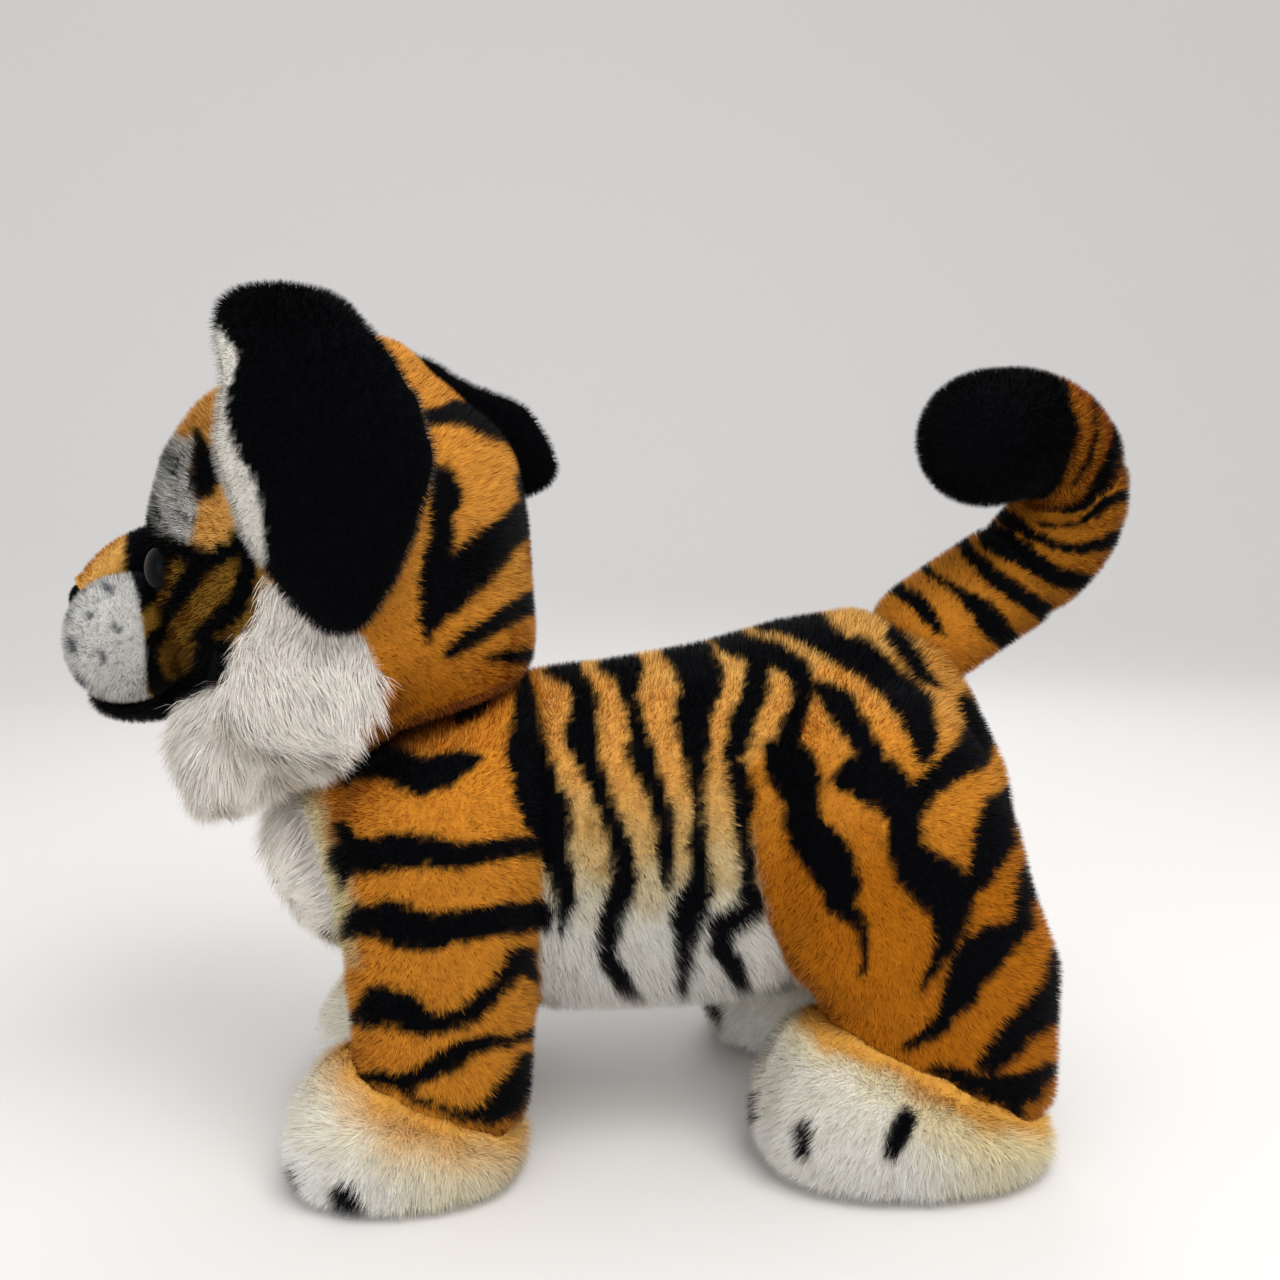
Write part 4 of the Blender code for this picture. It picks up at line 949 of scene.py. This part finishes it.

# %% [markdown]
# ## The trunk's coat
#
# The trunk and sleeves are printed as one. The back is a light orange, the shoulders and thighs are
# deeper, and the flank fades through sand and straw to white under the belly, with the stripes
# running on into the white. The back's lighter orange is painted light from above, and the thighs'
# darkening towards their bottom is painted shade. The print's edges are frayed, because each fibre
# takes one ink.

# %% Trunk's coat
SIDES = {"left": -1, "right": 1}
FRAY_PX = 3.0
FRAY_MM = 0.9
INK_SPREAD_PX = 1.5
CHEST_EDGE = [
    (690, 400), (735, 345), (765, 318), (795, 305), (830, 314), (870, 330), (905, 339), (960, 340),
    (1060, 336),
]
CHEST_INSET_PX = 60
THIGH = [
    (812, 668), (775, 735), (744, 770), (750, 850), (762, 915), (788, 975), (812, 1012),
    (840, 1060),
    (1100, 1180), (1100, 660), (960, 640),
]
FORE_LEG_EDGE = 541


def stripe_ink(places, normals, u, v, strokes, seed):
    """The share of black at each place. The fray narrows where the cloth turns to the side."""
    turned = np.clip(np.abs(normals[:, 1]), 0.1, 1.0)
    fray = FRAY_PX * ripple(places, FRAY_MM, seed) * turned
    return ramp(painted(u, v, strokes) + INK_SPREAD_PX + fray, -3, 3)


def washed(colour, tone, washes):
    """Washes of other colours over one, each with its strength and the tones it runs between."""
    for wash, strength, start, end in washes:
        colour = over(colour, wash, strength * ramp(tone, start, end))
    return colour


def chest_depth(places, u, v):
    """How far in front of the chest's edge each place lies, in pixels of the picture."""
    legs = ramp(np.abs(places[:, 1]), 0.025, 0.040) * (1 - ramp(places[:, 2], 0.080, 0.100))
    return read_table(v, CHEST_EDGE) - u - CHEST_INSET_PX * legs


def flank_colour(places, u, v):
    """The unstriped print: light on the back, deep on the legs, white underneath. The back's
    lightness is painted light, and the thighs' deepening towards their bottom is painted shade.
    """
    tone = v + 14 * ripple(places, 14, 23) + 10 * ripple(places, 4, 24)
    dusk = np.clip(ripple(places, 2.2, 25) + 0.5 * ripple(places, 7, 26) - 0.5, 0, 1)
    washes = [(ORANGE, 0.35, 660, 720), (SAND, 0.8, 760, 830), (STRAW, 1.0, 825, 880)]
    washes += [(GOLD, 0.6 * dusk, 700, 780), (WHITE, 1.0, 865, 930)]
    # Painted light: the flank starts from LIGHT_ORANGE at the top of the back, the lit copy of the
    # orange.
    colour = washed(LIGHT_ORANGE, tone, washes)
    # Painted shade: the thighs darken through orange to deep orange towards their bottom.
    washes = [(ORANGE, 1.0, 700, 780), (DEEP_ORANGE, 1.0, 800, 880)]
    thigh_shaded_colour = washed(LIGHT_ORANGE * 0.5 + ORANGE * 0.5, tone, washes)
    colour = over(colour, thigh_shaded_colour, ramp(inside_outline(u, v, THIGH), -3, 8))
    fore_leg = ramp(FORE_LEG_EDGE - u, -3, 6) * ramp(v + 0.25 * (u - 400), 655, 700)
    return over(colour, ORANGE, fore_leg)


def trunk_coat(places, normals):
    u, v = brushed_view(places, 21)
    middle = ramp(places[:, 2], 0.055, 0.065) * (np.abs(places[:, 0] - 0.02) < 0.1)
    under = ramp(-normals[:, 2], 0.7, 0.95) * middle
    chest = chest_depth(places, u, v)
    colour = over(flank_colour(places, u, v), WHITE, under)
    colour = over(colour, CREAM, ramp(chest, -28, -4))
    colour = over(colour, RUFF_WHITE, ramp(chest, -8, 10))
    strokes = FLANK_STRIPES + THIGH_STRIPES + FORE_LEG_STRIPES
    ink = stripe_ink(places, normals, u, v, strokes, 22) * (1 - ramp(chest, -9, -2)) * (1 - under)
    between_legs = (u > FORE_LEG_EDGE) * (1 - ramp(inside_outline(u, v, THIGH), -4, 4))
    belly = np.maximum(ramp(v, 860, 930) * between_legs, under)
    return {
        "colour": over(colour, BLACK, ink),
        "length_mm": 5.4 + 3.6 * belly,
        "brush": (0.75, 0.0, -0.8),
        "upright": 0.8 - 0.12 * belly,
        "share": 1 - ramp(chest, -2, 12),
    }


def bib_coat(places, normals):
    u, v = brushed_view(places, 21)
    return {
        "colour": RUFF_WHITE,
        "length_mm": 14.0 + 6.0 * ramp(places[:, 2], 0.115, 0.150),
        "brush": (-0.5, 0.0, -1.0),
        "upright": 0.42,
        "share": ramp(chest_depth(places, u, v), -2, 12),
    }


REGIONS = {"shoulder": (-0.3, -0.045), "flank": (-0.045, 0.07), "thigh": (0.07, 0.3)}
trunk_cloth = Cloth(trunk, list(paws.values()) + [head])
seed = 11
for side, sign in SIDES.items():
    for part, (low, high) in REGIONS.items():
        coat = part_of(trunk_coat, sign, low, high)
        name = f"{side}_{part}_pile"
        grow_pile(name, trunk_cloth, "body", coat, SHORT_PILE, seed)
        seed += 1
grow_pile("chest_pile", trunk_cloth, "body", bib_coat, LONG_PILE, seed)

# %% [markdown]
# ## Paws
#
# The paws run from orange at the seam through cream to white at the toes. Their pile is longer and
# radiates from the top of the foot, and the claws are short black marks in it.

# %% Paws' coats
CLAW_MARKS = [
    [(291, 1168, 7), (300, 1186, 8)],
    [(345, 1186, 10), (354, 1202, 11), (366, 1210, 6)],
    [(806, 1126, 9), (808, 1143, 8)],
    [(908, 1120, 11), (899, 1136, 12), (893, 1150, 9)],
    [(755, 1090, 8), (758, 1112, 6)],
]
CREAM_DEPTH = {"front": 0.025, "rear": 0.010}
TOE_WHITE = {"front": 0.7, "rear": 0.85}


def paw_coat(end):
    ankle = ANKLES[end]

    def coat(places, normals):
        u, v = brushed_view(places, 31)
        depth = under_ankle(places, ankle)
        depth = depth + 0.003 * ripple(places, 14, 33) + 0.002 * ripple(places, 3, 34)
        colour = over(PAW_GOLD, CREAM, ramp(depth, 0.003, CREAM_DEPTH[end]))
        toes = ramp(ankle[0] - places[:, 0], -0.010, 0.045)
        floorwards = ramp(-places[:, 2], -0.036, -0.010)
        white = np.clip(TOE_WHITE[end] * toes + 0.45 * floorwards, 0, 1)
        colour = over(colour, WHITE, white * ramp(depth, 0.002, 0.020))
        claws = ramp(painted(u, v, CLAW_MARKS) + 2 * ripple(places, FRAY_MM, 35), -3, 3)
        out = unit(places - (ankle[0], 0.0, ankle[1] + 0.02)) * (1, 0, 1)
        sole = ramp(-places[:, 2], -0.008, -0.004)
        return {
            "colour": over(colour, BLACK, claws),
            "length_mm": 8.5 * (1 - 0.75 * sole),
            "brush": out + (0.0, 0.0, -0.3),
            "upright": 0.62,
        }

    return coat


for number, (leg, skin) in enumerate(paws.items()):
    coat = paw_coat(leg.split("_")[0])
    cloth = Cloth(skin, [trunk])
    grow_pile(f"{leg}_paw_pile", cloth, "body", coat, SHORT_PILE, 41 + number)


# %% [markdown]
# ## The head's coat
#
# The head has short striped pile on top and behind, and darker, golden cheeks streaked with black.
# Over the eyes lies a patch of silver streaks. The ruffs under the jaw are long white pile, a pile
# of their own, of bending blades.

# %% Head's coat
WHITE_CHEEK = [
    (266, 578), (300, 600), (352, 628), (366, 640), (377, 668), (377, 702), (356, 722), (332, 748),
    (310, 775), (300, 830), (120, 830), (150, 708), (200, 697), (225, 682), (234, 652), (246, 632),
    (262, 622),
]
GOLDEN_CHEEK = [
    (120, 560), (165, 545), (262, 556), (268, 620), (238, 655), (228, 700), (150, 722), (138, 640),
]
SILVER_BROW = [
    (163, 438), (196, 440), (198, 492), (196, 530), (184, 548), (163, 545), (120, 520), (120, 470),
]
STREAK_PX = 4.6
FACE_MIDDLE = (-0.2255, 0.0, 0.250)


def face_colour(places, normals, u, v):
    """The colours of the head's short pile."""
    colour = over(LIGHT_ORANGE, ORANGE * 0.8 + LIGHT_ORANGE * 0.2, ramp(u, 230, 330))
    colour = over(colour, ORANGE, ramp(v, 560, 640) * ramp(u, 330, 380))
    # Painted shade: the head's low back, between ear and shoulder, is darkened with deep orange.
    colour = over(colour, DEEP_ORANGE * 0.85, ramp(v, 620, 720) * ramp(u, 330, 390))
    colour = over(colour, GOLD, ramp(inside_outline(u, v, GOLDEN_CHEEK), -6, 6))
    brow = ramp(inside_outline(u, v, SILVER_BROW) + 5 * ripple(places, 3, 57), -6, 6)
    streaks = np.sin((u - 0.35 * v) / STREAK_PX + 2.6 * ripple(places, 8, 54))
    streaks = ramp(streaks + 1.1 * ripple(places, 1.6, 55), 0.0, 1.3)
    colour = over(colour, over(SILVER, GREY * 0.35, streaks), brow)
    ink = stripe_ink(places, normals, u, v, HEAD_STRIPES + FACE_STRIPES, 56)
    return over(colour, BLACK, ink)


def head_coat(places, normals):
    u, v = brushed_view(places, 51)
    white = ramp(inside_outline(u, v, WHITE_CHEEK), -5, 5)
    return {
        "colour": over(face_colour(places, normals, u, v), RUFF_WHITE, white),
        "length_mm": 5.2 - 1.6 * ramp(-places[:, 0], 0.180, 0.200),
        "brush": unit(places - FACE_MIDDLE) + (0.0, 0.0, -0.15),
        "upright": 0.8,
        "share": 1 - white,
    }


def ruff_coat(places, normals):
    u, v = brushed_view(places, 51)
    return {
        "colour": RUFF_WHITE,
        "length_mm": 12.0 + 3.0 * ramp(-places[:, 2], -0.230, -0.190),
        "brush": np.array([0.3, 0.0, -1.0]) + np.array([0.0, 1.0, 0.0]) * normals[:, 1:2] * 0.4,
        "upright": 0.52,
        "share": ramp(inside_outline(u, v, WHITE_CHEEK), -5, 5),
    }


head_cloth = Cloth(head, [muzzle, bridge, chin, trunk])
for side, sign in SIDES.items():
    for name, slot, coat, pile, seed in (
        (f"head_{side}_pile", "orange_pile", head_coat, SHORT_PILE, 61 + sign),
        (f"cheek_{side}_pile", "white_pile", ruff_coat, LONG_PILE, 65 + sign),
    ):
        grow_pile(name, head_cloth, "head", part_of(coat, sign), pile, seed)


# %% [markdown]
# ## Muzzle, nose and chin
#
# The muzzle is two puffs of short silvery pile with soft dark whisker spots. A seam parts it from
# the striped cheeks. Above it an orange wedge of the shortest pile runs up the bridge of the nose.

# %% Muzzle, nose and chin
WHISKER_SPOTS = [
    [(80, 587, 3), (84, 590, 3)],
    [(106, 588, 4), (110, 592, 4)],
    [(89, 614, 4), (91, 617, 4)],
    [(114, 627, 4), (118, 629, 4)],
    [(104, 655, 5), (105, 660, 4)],
    [(70, 640, 4), (73, 648, 4)],
    [(78, 675, 3), (84, 680, 3)],
    [(66, 610, 3), (68, 616, 3)],
]
MUZZLE_WHITE = [
    (20, 560), (70, 574), (100, 571), (127, 568), (136, 595), (142, 627), (145, 659), (147, 697),
    (140, 760), (20, 760),
]
MUZZLE_MIDDLE = (-0.238, 0.0, 0.246)


def muzzle_coat(places, normals):
    u, v = brushed_view(places, 71)
    white = ramp(inside_outline(u, v, MUZZLE_WHITE), -2, 2)
    spots = ramp(painted(u, v, WHISKER_SPOTS) + 2 * ripple(places, 0.8, 72), -2, 2) * 0.85
    flecks = ramp(ripple(places, 1.3, 73), 0.75, 1.0) * 0.5
    silver = over(SILVER, GREY, np.maximum(spots, flecks))
    colour = over(face_colour(places, normals, u, v), silver, white)
    return {"colour": colour, "length_mm": 3.4, "brush": places - MUZZLE_MIDDLE, "upright": 0.84}


def bridge_coat(places, normals):
    colour = face_colour(places, normals, *brushed_view(places, 81))
    return {"colour": colour, "length_mm": 2.8, "brush": (1.0, 0.0, 0.6), "upright": 0.78}


def dark_coat(length_mm):
    look = {"colour": BLACK, "length_mm": length_mm, "brush": (0.5, 0.0, -1.0), "upright": 0.78}
    return lambda places, normals: look


for skin, neighbours, slot, coat, seed in (
    (muzzle, [head, bridge, nose], "white_pile", muzzle_coat, 71),
    (bridge, [head, nose], "orange_pile", bridge_coat, 81),
    (chin, [head, muzzle], "black_pile", dark_coat(4.5), 82),
    (nose, [muzzle, bridge], "black_pile", dark_coat(1.6), 83),
):
    name = skin.name.replace("skin", "pile")
    grow_pile(name, Cloth(skin, neighbours), "head", coat, FINE_PILE, seed)


# %% [markdown]
# ## Ears
#
# Each ear is a soft flap, two cloths sewn back to back: black outside and white inside. The seam
# rolls forward, so that the white shows as a strip down the front edge. The near ear hangs in an
# oval that is fullest at its middle. The far ear is swept back and stands up behind the head. Their
# outlines are drawn out by rows of heights and shifts in the picture, as the rump's was.

# %% Ears
LINING_EDGE = [
    (300, 190), (322, 214), (332, 224), (350, 238), (365, 236), (392, 226), (415, 223), (440, 232),
    (462, 246), (482, 257), (505, 262), (540, 264), (570, 268), (592, 286), (612, 300), (630, 312),
]
NEAR_EAR_BACK_PX = [
    (275, -95), (290, -78), (302, -52), (345, -10), (400, 16), (460, 24), (530, 10), (590, 2),
    (640, 0),
]
NEAR_EAR_FRONT_PX = [
    (300, 0), (340, 6), (365, 13), (390, 14), (423, 9), (455, 3), (488, 6), (530, 2), (570, 0),
]
FAR_EAR_PX = [(360, 6), (400, 14), (440, 26), (480, 28), (500, 16), (520, 0)]
EAR_FRONT_U = 225
EAR_WIDTH_PX = 180
NEAR_CROWN_LIFT = 0.003
FAR_EDGE_LIFT = 0.006
FAR_CROWN_LIFT = 0.007


def shape_ear(ear, side):
    """Draws an ear's edges to its outline in the picture, and raises its crown."""
    places = vertex_places(ear.data)
    u, v = in_picture(places)
    if side < 0:
        share = np.clip((u - EAR_FRONT_U) / EAR_WIDTH_PX, 0, 1)
        back, front = (read_table(v, table) for table in (NEAR_EAR_BACK_PX, NEAR_EAR_FRONT_PX))
        pixels = back * share + front * (1 - share)
        lift = NEAR_CROWN_LIFT * ramp(-v, -330, -290)
    else:
        share = ramp((u - u.min()) / (u.max() - u.min()), 0.3, 1.0)
        pixels = read_table(v, FAR_EAR_PX) * share
        crown = FAR_CROWN_LIFT * ramp(u, 380, 430) * (1 - ramp(u, 490, 540))
        lift = FAR_EDGE_LIFT * share + crown
    moves = across_picture(places, pixels)
    moves[:, 2] += lift
    push(ear, moves)
    soften(ear, np.ones(len(places)), 4)


def ear_coat(side):
    def coat(places, normals):
        u, v = brushed_view(places, 91)
        if side < 0:
            edge = read_table(v, LINING_EDGE) - u + 1.5 * ripple(places, FRAY_MM, 92)
            white = np.maximum(ramp(normals[:, 1], 0.35, 0.6), ramp(edge, -2, 2))
        else:
            front = places[:, 0] - places[:, 0].min()
            white = ramp(-normals[:, 1], -0.1, 0.2) * (1 - ramp(front, 0.035, 0.045))
        colour = over(BLACK, WHITE, white)
        return {"colour": colour, "length_mm": 4.6, "brush": (0.15, 0.0, -1.0), "upright": 0.76}

    return coat


for side, sign in SIDES.items():
    body = f"ear_{side}"
    nodes = [f"{body}_back", f"{body}_lining"]
    ear = sewn_skin(f"{body}_skin", body, nodes, -1.0, 2.5, 5)
    shape_ear(ear, sign)
    stuff(ear)
    coat = ear_coat(sign)
    grow_pile(f"{body}_pile", Cloth(ear), body, coat, FINE_PILE, 93 + sign)


# %% [markdown]
# ## The tail's stripes
#
# Black rings run round the tail, wide and slanting near the root and narrow in the curl, and its
# tip is all black. Each ring's near half is a row of points and half widths, as on the flanks.

# %% Tail stripes
TAIL_STRIPES = [
    [(850, 611, 6), (866, 618, 6), (882, 632, 7), (896, 645, 8), (910, 659, 9), (919, 671, 9),
     (928, 680, 6)],
    [(887, 588, 5), (900, 593, 8), (916, 602, 9), (928, 615, 8), (937, 629, 6), (944, 636, 2)],
    [(921, 563, 6), (930, 576, 4), (949, 586, 5), (962, 597, 7), (981, 611, 13), (992, 625, 15),
     (1015, 648, 9)],
    [(960, 540, 6), (967, 553, 7), (981, 567, 9), (994, 579, 10), (1011, 590, 10), (1043, 611, 10),
     (1056, 622, 9)],
    [(994, 540, 16), (1008, 547, 15), (1027, 558, 13), (1045, 570, 11), (1063, 579, 11),
     (1091, 583, 8)],
    [(1008, 521, 9), (1024, 531, 7), (1040, 540, 6), (1059, 547, 6), (1079, 549, 6), (1100, 544, 7),
     (1122, 531, 8)],
    [(1040, 524, 3), (1059, 527, 3), (1077, 524, 3), (1093, 514, 6), (1107, 501, 6),
     (1128, 494, 5)],
    [(1063, 512, 3), (1082, 505, 6), (1098, 487, 9), (1109, 464, 8), (1114, 441, 6),
     (1112, 410, 3)],
    [(1091, 405, 3), (1095, 432, 3), (1089, 459, 3), (1075, 482, 3)],
    [(1130, 440, 3), (1126, 487, 3)],
]
TAIL_TIP = [
    (1055, 350), (1066, 390), (1079, 432), (1061, 482), (1033, 512), (960, 530), (880, 470),
    (900, 380), (960, 350),
]
print("tail stripes:", len(TAIL_STRIPES))

# %% [markdown]
# ## Tail
#
# The tail is a stuffed tube with a wire in it, cut in three lengths where it bends. Its rings are
# brushed on as the camera sees them. A place on the far side takes the ink of the place opposite
# it, through the tail's middle line, so that each ring closes.

# %% Tail
TAIL_KNOTS = np.array([
    (0.1525, 0.0, 0.226), (0.1792, 0.0, 0.244), (0.2059, 0.0, 0.262), (0.2197, -0.005, 0.284),
    (0.2125, -0.015, 0.3091), (0.1891, -0.029, 0.3205), (0.1620, -0.046, 0.317),
])
TIP_FROM = 0.112


def along_tail(places):
    """For each place: how far along the tail it lies, the tail's direction and its middle there."""
    steps = np.linalg.norm(np.diff(TAIL_KNOTS, axis=0), axis=1)
    starts = np.concatenate([[0], np.cumsum(steps)])
    nearest = np.full(len(places), np.inf)
    reached = np.zeros(len(places))
    heading = np.zeros((len(places), 3))
    middle = np.zeros((len(places), 3))
    for k, step in enumerate(steps):
        line = (TAIL_KNOTS[k + 1] - TAIL_KNOTS[k]) / step
        along = np.clip((places - TAIL_KNOTS[k]) @ line, 0, step)
        spot = TAIL_KNOTS[k] + along[:, None] * line
        away = np.linalg.norm(places - spot, axis=1)
        closer = away < nearest
        nearest[closer] = away[closer]
        reached[closer] = starts[k] + along[closer]
        heading[closer] = line
        middle[closer] = spot[closer]
    return reached, heading, middle


def tail_coat(places, normals):
    reached, heading, middle = along_tail(places)
    to_camera = CAMERA_AT - middle
    to_camera = unit(to_camera - heading * (to_camera * heading).sum(axis=1)[:, None])
    behind = np.minimum(((places - middle) * to_camera).sum(axis=1), 0)
    u, v = in_picture(places - 2 * to_camera * behind[:, None])
    fray = 2.0 * ripple(places, FRAY_MM, 101)
    tip = ramp(inside_outline(u, v, TAIL_TIP) + fray, -2, 2) * (reached > TIP_FROM)
    ink = np.maximum(ramp(painted(u, v, TAIL_STRIPES) + fray, -2, 2), tip)
    colour = over(ORANGE, DEEP_ORANGE * 0.65 + GOLD * 0.35, ramp(reached, 0.01, 0.05))
    return {
        "colour": over(colour, BLACK, ink),
        "length_mm": 4.8,
        "brush": heading,
        "upright": 0.8,
    }


for number, part in enumerate(("base", "curl", "tip")):
    body = f"tail_{part}"
    nodes = [f"{body}_cover", f"{body}_filling"]
    slot = "black_pile" if part == "tip" else "orange_pile"
    skin = sewn_skin(f"{body}_skin", body, nodes, 0.6, 2.5, 5)
    grow_pile(f"{body}_pile", Cloth(skin), body, tail_coat, FINE_PILE, 111 + number)


# %% [markdown]
# ## Eyes
#
# The eyes are moulded buttons of black ABS on stems that lock inside the head. Each is a domed
# disc: a sphere flattened along the way the eye looks and sunk into the pile. Fibres stand round it
# and take most of its gloss, so its shine is kept low and soft.


# %% Eyes
def plain_material(name, hex_colour, roughness, specular):
    """A moulded plastic or a drawn wire, its colour clouded very slightly."""
    made, tree = new_material(name)
    place = add_node(tree, "ShaderNodeTexCoord")
    noise = {"Vector": place.outputs["Object"], "Scale": 400.0, "Detail": 3.0}
    cloud = add_node(tree, "ShaderNodeTexNoise", noise)
    low, high = (tuple(linear(hex_colour) * factor) + (1.0,) for factor in (0.85, 1.15))
    tints = {"Factor": cloud.outputs["Fac"], "A": low, "B": high}
    tint = add_node(tree, "ShaderNodeMix", tints, data_type="RGBA")
    surface = {"Base Color": tint.outputs["Result"], "Roughness": roughness}
    surface["Specular IOR Level"] = specular
    shader = add_node(tree, "ShaderNodeBsdfPrincipled", surface)
    add_node(tree, "ShaderNodeOutputMaterial", {"Surface": shader.outputs["BSDF"]})
    return made


EYE_RADIUS = 0.0090
EYE_HEIGHT = 0.0055
EYE_SUNK = 0.0030
EYE_TURN = math.radians(31.0)
eye_material = plain_material("ABS, black, moulded and polished", "#07080B", 0.28, 0.05)
for side, sign in SIDES.items():
    look = Vector((-math.cos(EYE_TURN), sign * math.sin(EYE_TURN), 0))
    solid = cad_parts[f"eye_{side}"].data
    crown = max((corner.co for corner in solid.vertices), key=lambda co: co.dot(look))
    bpy.ops.object.select_all(action="DESELECT")
    bpy.ops.mesh.primitive_uv_sphere_add(
        segments=40,
        ring_count=24,
        radius=EYE_RADIUS,
        location=crown - look * (EYE_HEIGHT + EYE_SUNK),
        rotation=look.to_track_quat("Z", "Y").to_euler(),
    )
    eye = bpy.context.object
    eye.name = f"eye_{side}_button"
    eye.scale.z = EYE_HEIGHT / EYE_RADIUS
    bpy.ops.object.transform_apply(location=True, rotation=True, scale=True)
    bpy.ops.object.shade_smooth()
    eye.data.materials.append(eye_material)
    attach(eye, "head")
    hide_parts(f"eye_{side}")
    print(eye.name, "at", in_mm([crown])[0])


# %% [markdown]
# ## What stays from the solids
#
# The neck's disc, washer and nut, the washers behind the eyes and the tail's wire are rigid parts
# whose solids are right as they are. They only get the finish of what they are made of.

# %% Hidden hardware
# Polypropylene: milky and half matt. Annealed steel wire: grey, with a broken shine.
plain_plastic = plain_material("polypropylene, natural, moulded", "#D8D8D2", 0.45, 0.5)
wire_material = plain_material("steel wire, annealed", "#8C8C8C", 0.35, 0.5)
for node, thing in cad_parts.items():
    if not thing.hide_render:
        thing.data.materials.clear()
        thing.data.materials.append(wire_material if "wire" in node else plain_plastic)
        print("kept from the solids:", node)


# %% [markdown]
# ## Floor and light
#
# A pale sweep of board: a floor that curves up into a wall far behind, so that no horizon shows. A
# large soft lamp hangs over the toy's back, and weaker ones light its face and its far side.

# %% Floor and lamps
LAMPS_AIM = Vector((0, 0, 0.18))


def lamp(name, place, size, power):
    """A square lamp that points at the toy's middle."""
    bpy.ops.object.light_add(type="AREA", location=place)
    made = bpy.context.object
    made.name = name
    made.data.size = size
    made.data.energy = power
    made.rotation_euler = (LAMPS_AIM - Vector(place)).to_track_quat("-Z", "Y").to_euler()


bpy.ops.object.select_all(action="DESELECT")
bpy.ops.mesh.primitive_plane_add(size=8, location=(0, -1.0, 0))
floor = bpy.context.object
floor.name = "floor"
bpy.ops.object.mode_set(mode="EDIT")
bpy.ops.mesh.select_mode(type="EDGE")
bpy.ops.mesh.select_all(action="DESELECT")
bpy.ops.object.mode_set(mode="OBJECT")
for edge in floor.data.edges:
    edge.select = all(floor.data.vertices[k].co.y > 0 for k in edge.vertices)
bpy.ops.object.mode_set(mode="EDIT")
bpy.ops.mesh.extrude_edges_move(TRANSFORM_OT_translate={"value": (0, 0, 4)})
bpy.ops.object.mode_set(mode="OBJECT")
apply_modifier(
    floor, "BEVEL", width=1.6, segments=24, limit_method="ANGLE", angle_limit=math.radians(60)
)
bpy.ops.object.shade_smooth()
# Matt paint on board: pale, with a wide soft shine and a clear shadow.
floor_material, floor_tree = new_material("board, painted matt")
paint = {"Base Color": tuple(linear("#DFDCD8")) + (1.0,), "Roughness": 0.8}
floor_shader = add_node(floor_tree, "ShaderNodeBsdfPrincipled", paint)
add_node(floor_tree, "ShaderNodeOutputMaterial", {"Surface": floor_shader.outputs["BSDF"]})
floor.data.materials.append(floor_material)

lamp("key_lamp", (0.35, -0.75, 1.35), 0.9, 15)
lamp("fill_lamp", (-0.8, -1.3, 0.35), 1.2, 8)
lamp("back_lamp", (0.3, 1.2, 1.1), 1.0, 6)
world = bpy.data.worlds.new("studio")
world.use_nodes = True
bpy.context.scene.world = world
background = world.node_tree.nodes["Background"]
background.inputs["Color"].default_value = (0.95, 0.96, 1.0, 1.0)
background.inputs["Strength"].default_value = 0.85
bpy.context.scene.view_settings.view_transform = "Standard"
print("lamps and floor are in place")
